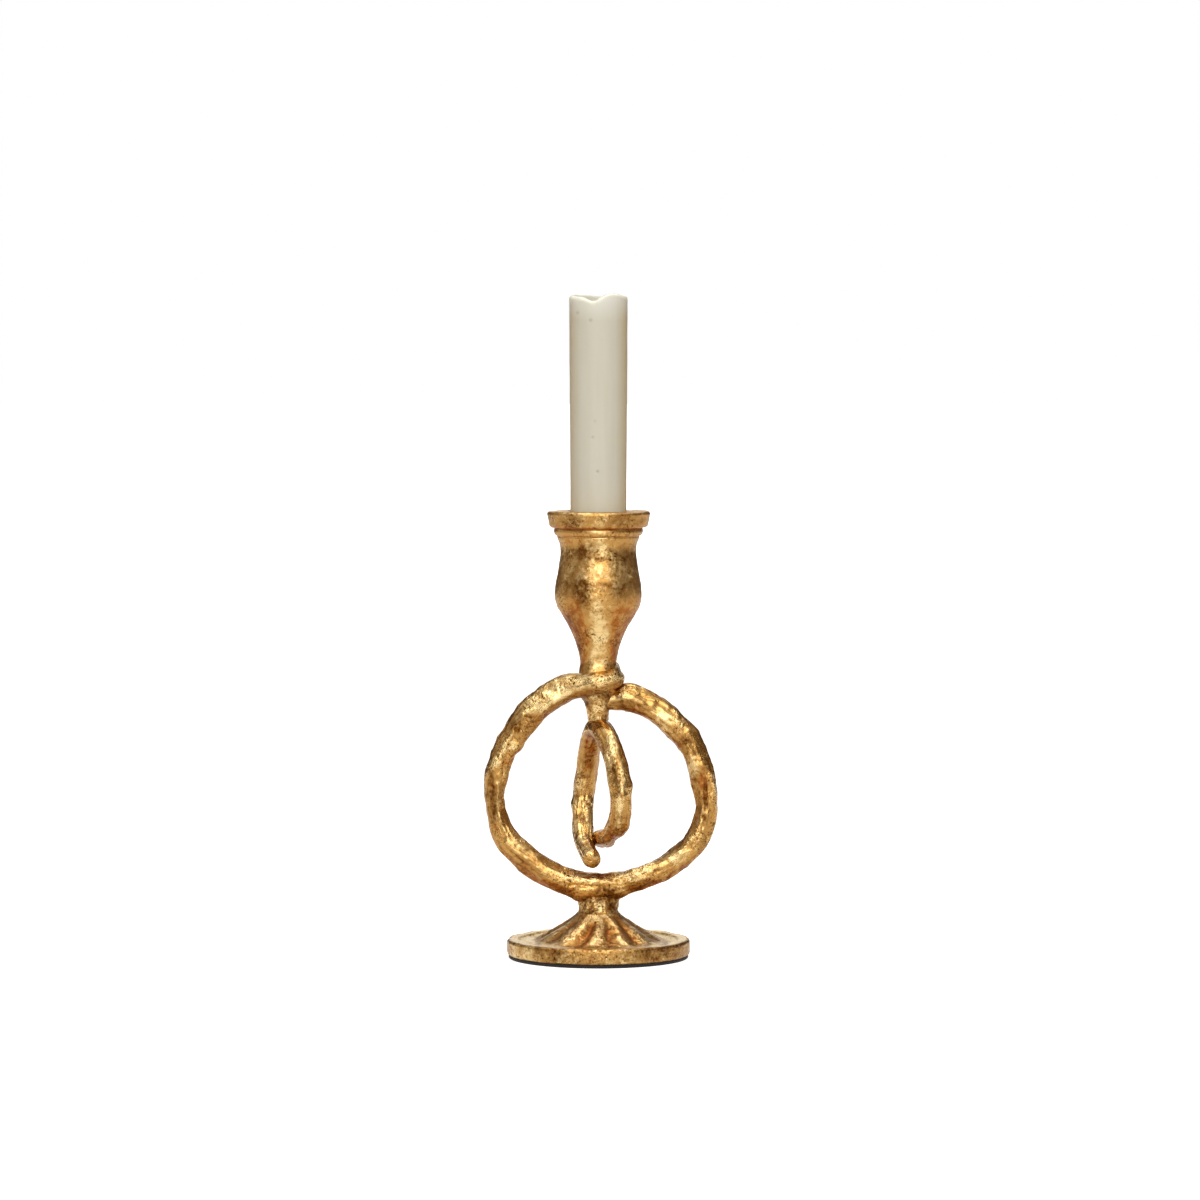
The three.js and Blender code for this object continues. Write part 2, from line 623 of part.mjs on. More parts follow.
// Finishes
const gilt = () => new THREE.MeshStandardMaterial({ color: 0xaf8855, roughness: 0.42, metalness: 0.9 });
const steel = () => new THREE.MeshStandardMaterial({ color: 0x9a9b9c, roughness: 0.4, metalness: 0.9 });
const felt = () => new THREE.MeshStandardMaterial({ color: 0x151413, roughness: 0.95, metalness: 0 });
const wax = () => new THREE.MeshStandardMaterial({ color: 0xd9d3bd, roughness: 0.5, metalness: 0 });
const cotton = () => new THREE.MeshStandardMaterial({ color: 0xe6e0cf, roughness: 0.9, metalness: 0 });

// Add one named piece to a group, its own origin at a height
function place(group, name, geometry, material, height) {
  const mesh = new THREE.Mesh(geometry, material);
  mesh.name = name;
  mesh.position.z = height;
  group.add(mesh);
}

const screwZ = footZ + ceilingZ - WASHER_THICKNESS;
const holder = new THREE.Group();
place(holder, 'base_pad', padGeometry(), felt(), 0);
place(holder, 'foot', footGeometry(), gilt(), footZ);
place(holder, 'foot_washer', washerGeometry(), steel(), screwZ);
place(holder, 'foot_screw', screwGeometry(), steel(), screwZ);
place(holder, 'neck', neckGeometry(), gilt(), neckZ);
place(holder, 'ring', ringGeometry(0), gilt(), ringZ);
place(holder, 'loop', loopGeometry(0), gilt(), loopZ);
place(holder, 'drop_boss', bossGeometry(), gilt(), jointZ);
place(holder, 'cup_stud', studGeometry(), steel(), jointZ);
place(holder, 'candle_cup', cupGeometry(), gilt(), jointZ);

// The candle and its wick lift out of the socket together
const taper = new THREE.Group();
taper.position.z = candleZ;
place(taper, 'candle', candleGeometry(), wax(), 0);
place(taper, 'wick', wickGeometry(), cotton(), 0);

const candleHolder = new THREE.Group();
candleHolder.add(holder, taper);

export default candleHolder;
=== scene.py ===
import math

import bmesh
import bpy
import numpy as np
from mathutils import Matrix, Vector, noise


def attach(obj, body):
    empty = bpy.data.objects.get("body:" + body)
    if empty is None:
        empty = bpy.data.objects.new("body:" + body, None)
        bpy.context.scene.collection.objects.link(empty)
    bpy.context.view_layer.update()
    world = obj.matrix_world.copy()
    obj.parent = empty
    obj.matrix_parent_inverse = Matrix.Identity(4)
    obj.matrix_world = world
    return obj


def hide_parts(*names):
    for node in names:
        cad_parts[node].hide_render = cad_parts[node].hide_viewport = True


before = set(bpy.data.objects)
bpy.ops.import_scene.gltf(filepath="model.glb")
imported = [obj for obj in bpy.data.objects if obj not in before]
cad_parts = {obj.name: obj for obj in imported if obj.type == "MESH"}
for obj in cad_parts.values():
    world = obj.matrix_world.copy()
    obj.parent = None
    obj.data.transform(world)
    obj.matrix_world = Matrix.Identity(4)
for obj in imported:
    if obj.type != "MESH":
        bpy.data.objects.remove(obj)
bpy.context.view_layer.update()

# Base pad
# A disc of black wool felt, die-cut and glued flat under the foot, and all that touches the table.
# Its top and bottom are flat, and its cut edge is a little uneven and fuzzy. Sizes here and below are in mm.
MM = 0.001
PAD_RADIUS = 34.4
PAD_THICKNESS = 1.2
PAD_EDGE_ROUND = 0.25
PAD_SIDES = 360
PAD_STEP = 0.8
# Unevenness of a surface: [height, length] of its waves
PAD_FUZZ = [[0.08, 1.1]]
PAD_FUZZ_FROM = 0.1
# A turned profile ends this far from its axis, where a small cap closes it
AXIS = 0.05
FELT_BLACK = "17161a"
FELT_FIBRE = "2c2a2d"
# Fibres are drawn coarser than real ones, so that they show
FELT_FIBRE_SIZE = 0.35
FELT_NAP = 0.15


def linear(colour):
    """An sRGB hex colour as linear red, green, blue and alpha."""
    parts = [int(colour[i:i + 2], 16) / 255 for i in (0, 2, 4)]
    return [p / 12.92 if p <= 0.04045 else ((p + 0.055) / 1.055) ** 2.4 for p in parts] + [1.0]


def add(tree, kind, inputs, **settings):
    """Adds one shader node with its settings, and sets or links its inputs."""
    node = tree.nodes.new("ShaderNode" + kind)
    for name, value in settings.items():
        setattr(node, name, value)
    for name, value in inputs.items():
        if isinstance(value, bpy.types.NodeSocket):
            tree.links.new(value, node.inputs[name])
        else:
            node.inputs[name].default_value = value
    return node


def start_material(name):
    """A new material, its node tree, its shader and the place on the piece that its patterns follow."""
    material = bpy.data.materials.new(name)
    material.use_nodes = True
    tree = material.node_tree
    place = add(tree, "TexCoord", {}).outputs["Object"]
    return material, tree, tree.nodes["Principled BSDF"], place


def per_metre(size):
    """The scale of a pattern whose repeat is size millimetres."""
    return 1 / (size * MM)


def spaced(profile, step):
    """The profile with points put in, so that no two neighbours lie further apart than step."""
    points = [np.array(profile[0], float)]
    for end in profile[1:]:
        start = points[-1]
        gap = np.array(end, float) - start
        count = max(1, math.ceil(np.linalg.norm(gap) / step))
        points += [start + gap * (i + 1) / count for i in range(count)]
    return np.array(points)


def turned(profile, sides):
    """Rows of points: a profile of [radius, height] turned round the upright axis."""
    angles = np.linspace(0, 2 * np.pi, sides, endpoint=False)
    radius, height = np.array(profile, float).T
    across = np.outer(radius, np.cos(angles))
    ahead = np.outer(radius, np.sin(angles))
    return np.stack([across, ahead, np.outer(height, np.ones(sides))], axis=-1)


def skin(name, rows, looped):
    """A closed piece over rows of points: the last row joins the first, or both ends are capped."""
    count, sides = rows.shape[:2]
    here = np.arange(sides)
    beside = np.roll(here, -1)
    faces = []
    for row in range(count if looped else count - 1):
        low = row * sides
        high = (row + 1) % count * sides
        faces += np.stack([low + here, low + beside, high + beside, high + here], axis=1).tolist()
    if not looped:
        faces += [here[::-1].tolist(), (here + (count - 1) * sides).tolist()]
    mesh = bpy.data.meshes.new(name)
    mesh.from_pydata((rows.reshape(-1, 3) * MM).tolist(), [], faces)
    shape = bmesh.new()
    shape.from_mesh(mesh)
    bmesh.ops.recalc_face_normals(shape, faces=shape.faces)
    shape.to_mesh(mesh)
    shape.free()
    mesh.shade_smooth()
    piece = bpy.data.objects.new(name, mesh)
    bpy.context.scene.collection.objects.link(piece)
    return piece


def points_of(piece):
    """Where the piece's vertices are."""
    points = np.empty(len(piece.data.vertices) * 3, np.float32)
    piece.data.vertices.foreach_get("co", points)
    return points.reshape(-1, 3).astype(float) / MM


def normals_of(piece):
    """Which way the surface faces at each vertex."""
    normals = np.empty(len(piece.data.vertices) * 3, np.float32)
    piece.data.vertex_normals.foreach_get("vector", normals)
    return normals.reshape(-1, 3)


def from_axis(points):
    """How far each point is from the upright axis."""
    return np.hypot(points[:, 0], points[:, 1])


def waver(points, size, drift=0.0):
    """Smooth noise at each point, about -1 to 1, in waves some size millimetres long."""
    return np.array([noise.noise(point) for point in (points / size + drift).tolist()])


def rough(points, waves):
    """Unevenness at each point: a sum of smooth noise, each [height, length] or [height, length, drift]."""
    return sum(height * waver(points, *length) for height, *length in waves)


def reshape(piece, points):
    """Moves the piece's vertices to the points."""
    piece.data.vertices.foreach_set("co", (points * MM).astype(np.float32).ravel())
    piece.data.update()


def work(piece, height):
    """Moves the surface out along its normals by height."""
    reshape(piece, points_of(piece) + normals_of(piece) * height[:, None])


def wool_felt():
    """Pressed black wool: no gloss, with a faint paler tangle of fibres and a soft sheen at the edge."""
    material, tree, shader, place = start_material("black wool felt, die-cut")
    tangle = add(tree, "TexNoise", {
        "Vector": place, "Scale": per_metre(FELT_FIBRE_SIZE), "Detail": 6, "Distortion": 1.5})
    colour = add(tree, "Mix", {
        0: tangle.outputs["Fac"], 6: linear(FELT_BLACK), 7: linear(FELT_FIBRE)}, data_type="RGBA")
    nap = add(tree, "Bump", {
        "Height": tangle.outputs["Fac"], "Strength": 0.6, "Distance": FELT_NAP * MM})
    tree.links.new(colour.outputs[2], shader.inputs["Base Color"])
    tree.links.new(nap.outputs["Normal"], shader.inputs["Normal"])
    shader.inputs["Roughness"].default_value = 0.95
    shader.inputs["Sheen Weight"].default_value = 0.15
    return material


pad_edge = PAD_RADIUS - PAD_EDGE_ROUND
pad_profile = spaced([
    [AXIS, 0],
    [pad_edge, 0],
    [PAD_RADIUS, PAD_EDGE_ROUND],
    [PAD_RADIUS, PAD_THICKNESS - PAD_EDGE_ROUND],
    [pad_edge, PAD_THICKNESS],
    [AXIS, PAD_THICKNESS],
], PAD_STEP)
pad = skin("felt_base_pad", turned(pad_profile, PAD_SIDES), looped=False)
points = points_of(pad)
at_cut = from_axis(points) > pad_edge + PAD_FUZZ_FROM
work(pad, rough(points, PAD_FUZZ) * at_cut)
pad.data.materials.append(wool_felt())
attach(pad, "holder")
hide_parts("base_pad")

# Foot
# A round sand casting in aluminium with a raised rim, a shallow dish and a cone drawn up in soft folds.
# It is coated with red-brown bole, laid with gold leaf and toned with umber wax that stays in the hollows.
FOOT_Z = 1.2
FOOT_RADIUS = 35.1
FOOT_EDGE_HEIGHT = 6.1
FOOT_EDGE_ROUND = 1.3
FOOT_RIM_WIDTH = 4.2
FOOT_RIM_EASE = 1.2
FOOT_RIM_SAG = 0.12
DISH_DEPTH = 0.9
DISH_WIDTH = 6.9
DISH_EASE = 1.5
DISH_LIFT = 0.1
FOOT_HEIGHT = 16.3
CONE_TOP_RADIUS = 7.9
# The flare of the cone, from the dish up: [share of the way out, share of the height]
CONE_SHAPE = [[1.3, 0], [1.12, 0.05], [0.97, 0.15], [0.82, 0.28], [0.5, 0.54], [0.23, 0.75], [0.07, 0.9],
              [0, 1]]
# The folds of the cone, in degrees from the front. They lean as they run out
FOLD_ANGLES = [-77, -48, -12, 17, 45, 74, 103, 137, 166, 198, 228, 257]
FOLD_DEPTHS = [0.9, 0.7, 1.3, 1.1, 1.0, 0.8, 0.9, 1.1, 0.8, 1.2, 0.9, 1.0]
FOLD_WIDTH = 8.0
FOLD_LEAN = 0.6
FOLD_UPRIGHT_AT = 12
FOLD_FADE = 6
FOLD_INTO_DISH = 4
FOLD_BELOW_TOP = 0.4
SCREW_HOLE_RADIUS = 2.75
FOOT_CEILING = 8.8
FOOT_HOLLOW = [[5.9, FOOT_CEILING], [15.4, 2.8], [29.6, 2.8], [29.6, 0]]
FOOT_SIDES = 400
FOOT_STEP = 0.42
FOOT_WAVES = [[0.28, 7], [0.16, 2.6], [0.07, 1.2]]
# The casting is plain near the pad and the neck
FOOT_PLAIN_BELOW = 0.4
FOOT_PLAIN_INSIDE = 0.3
EDGE_FADE = 1
DISH_FROM_CONE = 1
DISH_FADE = 3
CURVE_PARTS = 40
CORNER_POINTS = 7
PAST_CORNER = 0.3
# Dark wax, then bare leaf along the edge: [across, height, half-width, half-height, strength]
FOOT_SPOTS = [[-16.5, 4.2, 4, 2, 0.8], [25.6, 6.6, 1.6, 1.2, 0.7], [-23, 6.6, 1.6, 1.2, 0.6],
              [18.5, 6.8, 1.5, 1.2, 0.6], [22, 4, 6, 2, 0.3]]
FOOT_BARE = [[-27, 4.2, 6, 4, 0.9], [-33, 4.2, 4, 4, 0.5]]
SPOT_FADE = 6
# A cloud of thin wax: its size and its place in the noise
FOOT_CLOUD = [6, 3.1]
# What makes the leaf pale, and what holds wax
FOOT_PALE = {"flat": 0.62, "uneven": 0.9, "fold": -0.8, "edge": -0.27, "cone": 0.18, "dish": 0.25,
             "bare": 0.2}
FOOT_WAX = {"spots": 1, "fold": 0.3, "edge": 0.25, "cloud": 0.25, "dish": -0.15, "bare": -0.3}
FOOT_GRAIN = 0.85
BARE_OF_GRAIN = 0.9
LEAF_PALE = "f0d396"
LEAF_WARM = "c59856"
BOLE = "b4692a"
UMBER_GLAZE = "8a6f4c"
PIT_DARK = "2a1a0e"
LEAF_MOTTLE = 2.6
LEAF_CLUMP = 8
LEAF_GRAIN = 0.95
LEAF_FOLD = 3.2


def gold_leaf(name, crinkle, gloss, mottling):
    """Gold leaf burnished over bole and toned with umber wax. The leaf is pale and satin on high spots and
    where highlights are painted, the bole shows orange where it is rubbed and where shade is painted, and the
    wax leaves dark patches, creases and pits, with painted shade mixed into its patches. crinkle is the depth
    of its wrinkles, gloss its roughness and mottling how much its colour varies. On the piece, the first mark
    says how pale the leaf is, painted highlights and painted underside shade included, the second how waxed
    and how shaded, coarse how granular, and lay which way its folds run."""
    material, tree, shader, place = start_material(name)
    relief, stain, coarse = [add(tree, "Attribute", {}, attribute_name=mark_name).outputs["Fac"]
                             for mark_name in ("relief", "stain", "coarse")]
    lay = add(tree, "Attribute", {}, attribute_name="lay").outputs["Vector"]
    # Patches of colour, and grains that gather in clumps
    mottle = add(tree, "TexNoise", {
        "Vector": place, "Scale": per_metre(LEAF_MOTTLE), "Detail": 5, "Roughness": 0.62}).outputs["Fac"]
    cloudy = add(tree, "TexNoise", {
        "Vector": place, "Scale": per_metre(LEAF_CLUMP), "Detail": 3, "Roughness": 0.6}).outputs["Fac"]
    clumps = add(tree, "MapRange", {
        "Value": cloudy, "From Min": 0.49, "From Max": 0.62, "To Min": 0.06, "To Max": 1.0}).outputs[0]
    granular = add(tree, "Math", {0: clumps, 1: coarse}, operation="MAXIMUM").outputs[0]
    grain = add(tree, "TexNoise", {
        "Vector": place, "Scale": per_metre(LEAF_GRAIN), "Detail": 3, "Roughness": 0.6}).outputs["Fac"]
    grit = add(tree, "Math", {0: grain, 1: granular}, operation="MULTIPLY").outputs[0]
    spread = add(tree, "Math", {0: granular, 1: -0.5, 2: grit}, operation="MULTIPLY_ADD").outputs[0]
    soft = add(tree, "MapRange", {
        "Value": mottle, "To Min": 0.5 - mottling / 2, "To Max": 0.5 + mottling / 2}).outputs[0]
    flecked = add(tree, "Math", {0: spread, 1: 1.2, 2: soft}, operation="MULTIPLY_ADD").outputs[0]
    height = add(tree, "Math", {0: relief, 1: 0.8, 2: flecked}, operation="MULTIPLY_ADD").outputs[0]
    # Pale leaf, warm leaf and bole, under the wax, with painted highlights and painted shade among them
    paleness = add(tree, "MapRange", {
        "Value": height, "From Min": 0.8, "From Max": 1.15}, interpolation_type="SMOOTHSTEP").outputs[0]
    leaf = add(tree, "Mix", {
        0: paleness, 6: linear(LEAF_WARM), 7: linear(LEAF_PALE)}, data_type="RGBA").outputs[2]
    # Bole shows where the leaf is rubbed, and where painted shade lowers its paleness
    rubbed = add(tree, "MapRange", {
        "Value": height, "From Min": 0.7, "From Max": 0.44, "To Max": 0.8},
        interpolation_type="SMOOTHSTEP").outputs[0]
    over_bole = add(tree, "Mix", {
        0: rubbed, 6: leaf, 7: linear(BOLE)}, data_type="RGBA").outputs[2]
    broken = add(tree, "MapRange", {
        "Value": mottle, "From Min": 0.35, "From Max": 0.62, "To Min": 1.3, "To Max": 0.5}).outputs[0]
    # Wax, with painted shade mixed in
    waxed = add(tree, "Math", {
        0: stain, 1: broken}, operation="MULTIPLY", use_clamp=True).outputs[0]
    toned = add(tree, "Mix", {
        0: waxed, 6: over_bole, 7: linear(UMBER_GLAZE)}, data_type="RGBA", blend_type="MULTIPLY").outputs[2]
    # Wax in the creases between the folds, and in the pits
    fold = add(tree, "TexNoise", {
        "Vector": lay, "Scale": per_metre(LEAF_FOLD), "Detail": 2, "Roughness": 0.5,
        "Distortion": 0.6}).outputs["Fac"]
    from_fold = add(tree, "Math", {0: fold, 1: 0.5}, operation="SUBTRACT").outputs[0]
    wrinkle = add(tree, "Math", {0: from_fold}, operation="ABSOLUTE").outputs[0]
    crease = add(tree, "MapRange", {
        "Value": wrinkle, "From Min": 0.0, "From Max": 0.022, "To Min": 0.65, "To Max": 0.0}).outputs[0]
    creased = add(tree, "Mix", {
        0: crease, 6: toned, 7: linear(UMBER_GLAZE)}, data_type="RGBA", blend_type="MULTIPLY").outputs[2]
    speck = add(tree, "MapRange", {
        "Value": grain, "From Min": 0.44, "From Max": 0.35, "To Max": 0.9}).outputs[0]
    pitted = add(tree, "Math", {0: speck, 1: granular}, operation="MULTIPLY").outputs[0]
    colour = add(tree, "Mix", {
        0: pitted, 6: creased, 7: linear(PIT_DARK)}, data_type="RGBA").outputs[2]
    # Gloss and relief. The noise keeps to about a fifth of its range, so the depth is taken five times
    dullness = add(tree, "MapRange", {
        "Value": waxed, "To Min": gloss, "To Max": gloss + 0.2}).outputs[0]
    bump = add(tree, "Bump", {
        "Height": wrinkle, "Strength": 1.0, "Distance": 5 * crinkle * MM}).outputs["Normal"]
    pocked = add(tree, "Bump", {
        "Height": grit, "Strength": 1.0, "Distance": 5 * crinkle * MM, "Normal": bump}).outputs["Normal"]
    tree.links.new(colour, shader.inputs["Base Color"])
    tree.links.new(dullness, shader.inputs["Roughness"])
    tree.links.new(pocked, shader.inputs["Normal"])
    shader.inputs["Metallic"].default_value = 1.0
    return material


def smooth(stations, step):
    """Points about step apart on a smooth curve through the stations. Columns past the third go along."""
    stations = np.array(stations, float)
    ends = np.vstack([2 * stations[0] - stations[1], stations, 2 * stations[-1] - stations[-2]])
    t = np.linspace(0, 1, CURVE_PARTS, endpoint=False)[:, None]
    rows = []
    for before, a, b, after in zip(ends, ends[1:], ends[2:], ends[3:]):
        leave = (b - before) / 2
        arrive = (after - a) / 2
        rows.append((2 * a - 2 * b + leave + arrive) * t ** 3
                    + (3 * b - 3 * a - 2 * leave - arrive) * t ** 2 + leave * t + a)
    rows = np.vstack([*rows, stations[-1:]])
    gaps = np.linalg.norm(np.diff(rows[:, :3], axis=0), axis=1)
    along = np.concatenate([[0], np.cumsum(gaps)])
    even = np.linspace(0, along[-1], max(2, round(along[-1] / step)))
    return np.stack([np.interp(even, along, column) for column in rows.T], axis=1)


def corner(radius, height, size, start, end):
    """Points of a rounded edge about its centre, between two angles in degrees."""
    angles = np.radians(np.linspace(start, end, CORNER_POINTS))
    return np.stack([radius + size * np.cos(angles), height + size * np.sin(angles)], axis=1).tolist()


def ramp(way, over):
    """From 0 to 1 while the way goes from nothing to over."""
    return np.clip(way / over, 0, 1)


def mark(piece, **marks):
    """Keeps a number from 0 to 1 or a place on each vertex, for the material to read."""
    for name, values in marks.items():
        if values.ndim == 1:
            layer = piece.data.attributes.new(name, "FLOAT", "POINT")
            layer.data.foreach_set("value", np.clip(values, 0, 1).astype(np.float32))
        else:
            layer = piece.data.attributes.new(name, "FLOAT_VECTOR", "POINT")
            layer.data.foreach_set("vector", (values * MM).astype(np.float32).ravel())


def spots(points, places):
    """A sum of soft spots on the front, each [across, height, half-width, half-height, strength]."""
    front = np.clip(0.5 - points[:, 1] / SPOT_FADE, 0, 1)
    total = np.zeros(len(points))
    for across, height, width, tall, strength in places:
        away = ((points[:, 0] - across) / width) ** 2 + ((points[:, 2] - height) / tall) ** 2
        total += strength * np.exp(-away) * front
    return total


def cloud(points, size, drift, low=0):
    """Clouds at each point, from low to 1."""
    return np.clip(waver(points, size, drift), low, 1)


def tally(shares, **parts):
    """The sum of the parts, each times its share, on top of the share that is flat."""
    return shares.get("flat", 0) + sum(shares[name] * values for name, values in parts.items())


edge = FOOT_RADIUS - FOOT_EDGE_ROUND
rim_inside = FOOT_RADIUS - FOOT_RIM_WIDTH
dish_z = FOOT_EDGE_HEIGHT - DISH_DEPTH
dish_edge = rim_inside - DISH_DEPTH
cone_foot = dish_edge - DISH_WIDTH
cone_points = [[CONE_TOP_RADIUS + out * (cone_foot - CONE_TOP_RADIUS), dish_z + up * (FOOT_HEIGHT - dish_z)]
               for out, up in CONE_SHAPE]
rim_to_dish = [
    [rim_inside + FOOT_RIM_EASE, FOOT_EDGE_HEIGHT],
    [rim_inside, FOOT_EDGE_HEIGHT - FOOT_RIM_SAG],
    [dish_edge, dish_z + DISH_LIFT],
    [dish_edge - DISH_EASE, dish_z],
]
foot_profile = np.vstack([
    corner(edge, FOOT_EDGE_ROUND, FOOT_EDGE_ROUND, -90, 0),
    spaced(corner(edge, FOOT_EDGE_HEIGHT - FOOT_EDGE_ROUND, FOOT_EDGE_ROUND, 0, 90), FOOT_STEP),
    spaced([[edge - PAST_CORNER, FOOT_EDGE_HEIGHT], rim_to_dish[0]], FOOT_STEP),
    smooth(rim_to_dish, FOOT_STEP)[1:],
    spaced([rim_to_dish[-1], cone_points[0]], FOOT_STEP)[1:],
    smooth(cone_points, FOOT_STEP)[1:],
    [[SCREW_HOLE_RADIUS, FOOT_HEIGHT], [SCREW_HOLE_RADIUS, FOOT_CEILING]],
    FOOT_HOLLOW,
])
foot_profile[:, 1] += FOOT_Z
foot = skin("gilded_foot", turned(foot_profile, FOOT_SIDES), looped=True)
points = points_of(foot)
out = from_axis(points)
bearing = np.degrees(np.arctan2(points[:, 0], -points[:, 1]))
upper = points[:, 2] > FOOT_Z + dish_z - DISH_DEPTH
on_cone = (ramp(cone_foot + FOLD_INTO_DISH - out, FOLD_FADE)
           * ramp(out - CONE_TOP_RADIUS - FOLD_BELOW_TOP, FOLD_FADE) * upper)
fold = np.zeros(len(points))
for angle, depth in zip(FOLD_ANGLES, FOLD_DEPTHS):
    turn = (bearing + FOLD_LEAN * (out - FOLD_UPRIGHT_AT) - angle + 180) % 360 - 180
    fold -= depth * np.exp(-(turn / FOLD_WIDTH) ** 2)
seen = (points[:, 2] > FOOT_Z + FOOT_PLAIN_BELOW) & (out > CONE_TOP_RADIUS - FOOT_PLAIN_INSIDE)
uneven = rough(points, FOOT_WAVES)
work(foot, fold * on_cone + uneven * seen)
foot_low = np.clip(-fold * on_cone, 0, 1)
on_edge = ramp(out - edge + EDGE_FADE / 2, EDGE_FADE)
on_dish = ramp(out - cone_foot - DISH_FROM_CONE, DISH_FADE) * (1 - on_edge) * upper
bare = on_edge * spots(points, FOOT_BARE)
foot_pale = tally(FOOT_PALE, uneven=uneven, fold=foot_low, edge=on_edge, cone=on_cone, dish=on_dish,
                  bare=bare)
foot_wax = tally(FOOT_WAX, spots=spots(points, FOOT_SPOTS), fold=foot_low, edge=on_edge,
                 cloud=cloud(points, *FOOT_CLOUD), dish=on_dish, bare=bare)
foot_grain = FOOT_GRAIN * on_edge * (1 - BARE_OF_GRAIN * bare)
mark(foot, relief=foot_pale, stain=foot_wax, coarse=foot_grain, lay=points)
cast_leaf = gold_leaf("gold leaf over bole, cast foot", crinkle=0.07, gloss=0.28, mottling=0.9)
foot.data.materials.append(cast_leaf)
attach(foot, "holder")
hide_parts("foot")

# Foot washer and foot screw
# A pressed steel washer and a slotted pan-head machine screw, zinc plated, which pull the foot to the neck.
# Both sit in the hollow under the foot, behind the pad.
ZINC = "a4a6a8"
ZINC_DULL = "7f8287"
ZINC_BLOOM = 2.5


def zinc_plate():
    """Bright zinc on steel: a cool grey metal with the faint cloudy bloom of the plating bath."""
    material, tree, shader, place = start_material("zinc plated steel")
    bloom = add(tree, "TexNoise", {
        "Vector": place, "Scale": per_metre(ZINC_BLOOM), "Detail": 4}).outputs["Fac"]
    colour = add(tree, "Mix", {
        0: bloom, 6: linear(ZINC_DULL), 7: linear(ZINC)}, data_type="RGBA").outputs[2]
    gloss = add(tree, "MapRange", {"Value": bloom, "To Min": 0.5, "To Max": 0.28}).outputs[0]
    tree.links.new(colour, shader.inputs["Base Color"])
    tree.links.new(gloss, shader.inputs["Roughness"])
    shader.inputs["Metallic"].default_value = 1.0
    return material


def finish_node(name, material):
    """Gives a carried-over solid its material."""
    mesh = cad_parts[name].data
    mesh.materials.clear()
    mesh.materials.append(material)


zinc = zinc_plate()
finish_node("foot_washer", zinc)
finish_node("foot_screw", zinc)

# Neck
# A short stub of aluminium rod, brazed under the ring and drawn down on the foot by its screw.
# It is the roughest piece: filed, dented and blobbed with braze, and the wax has stayed in every dent.
NECK_Z = 17.5
NECK_TOP = 12.0
NECK_SHAPE = [[7.9, 0.0], [7.6, 1.2], [7.3, 3.2], [7.2, 5.0], [7.3, 7.0], [7.3, 9.0], [6.6, 10.8],
              [5.0, 11.8]]
NECK_STEP = 0.4
NECK_SIDES = 110
# Towards the ring the stub widens along it and is hammered flat across it
NECK_ROUND_TO = 1
NECK_FLAT_OVER = 6
NECK_FLAT_EASE = 1.2
NECK_WIDEN = 0.2
NECK_FLATTEN = 0.55
NECK_PLAIN_INSIDE = 4
NECK_WAVES = [[0.42, 4], [0.3, 1.9], [0.12, 1.0]]
NECK_SPOTS = [[1.7, 25.4, 3.4, 2.6, 1.4], [-3.6, 23, 1.5, 2.2, 1.2], [-2.6, 18.4, 1.8, 1.5, 1.2],
              [5.4, 21.5, 1.5, 4, 1.1], [2.6, 23, 1.6, 1.2, 1.0]]
# A painted highlight on the front: [across, height, half-width, half-height, strength]
NECK_BURNISH = [[0.5, 20.3, 2.0, 1.5, 0.35]]
NECK_CLOUD = [3, 7.7, -0.5]
NECK_PALE = {"flat": 0.45, "uneven": 0.75, "burnish": 1}
NECK_WAX = {"flat": 0.2, "cloud": 0.4, "spots": 1}
NECK_GRAIN = 0.9
SCREW_HOLE_DEPTH = 4.0
neck_profile = np.vstack([
    [[AXIS, SCREW_HOLE_DEPTH], [SCREW_HOLE_RADIUS, SCREW_HOLE_DEPTH], [SCREW_HOLE_RADIUS, 0]],
    smooth(NECK_SHAPE, NECK_STEP),
    [[AXIS, NECK_TOP]],
])
neck_profile[:, 1] += NECK_Z
neck_rows = turned(neck_profile, NECK_SIDES)
toward_ring = ramp(neck_rows[..., 2] - NECK_Z - NECK_ROUND_TO, NECK_FLAT_OVER) ** NECK_FLAT_EASE
neck_rows[..., 0] *= 1 + NECK_WIDEN * toward_ring
neck_rows[..., 1] *= 1 - NECK_FLATTEN * toward_ring
neck = skin("gilded_neck", neck_rows, looped=False)
points = points_of(neck)
uneven = rough(points, NECK_WAVES)
work(neck, uneven * (from_axis(points) > NECK_PLAIN_INSIDE))
neck_pale = tally(NECK_PALE, uneven=uneven, burnish=spots(points, NECK_BURNISH))
neck_wax = tally(NECK_WAX, cloud=cloud(points, *NECK_CLOUD), spots=spots(points, NECK_SPOTS))
mark(neck, relief=neck_pale, stain=neck_wax, coarse=np.full(len(points), NECK_GRAIN), lay=points)
rough_leaf = gold_leaf("gold leaf over bole, hammered rod", crinkle=0.1, gloss=0.25, mottling=0.75)
neck.data.materials.append(rough_leaf)
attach(neck, "holder")
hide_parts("neck")

# Ring
# One aluminium rod, bent round by hand: it starts beside the stem, runs round the hoop, crosses in front of
# the stem and ends in an eye wrapped round it. It is hammered uneven, brazed to the neck, then gilded.
RING_Z = 66.0
RING_RADIUS = 39.5
ROD_DIAMETER = 9.4
EYE_ROD_DIAMETER = 6.2
EYE_RADIUS = 7.0
EYE_FRONT_Z = 40.2
EYE_RISE = 4.2
EYE_ANGLES = [225, 270, 315, 360, 405, 450, 495]
EYE_DRAW = [0.95, 0.75, 0.45, 0.2, 0, 0, -0.05]
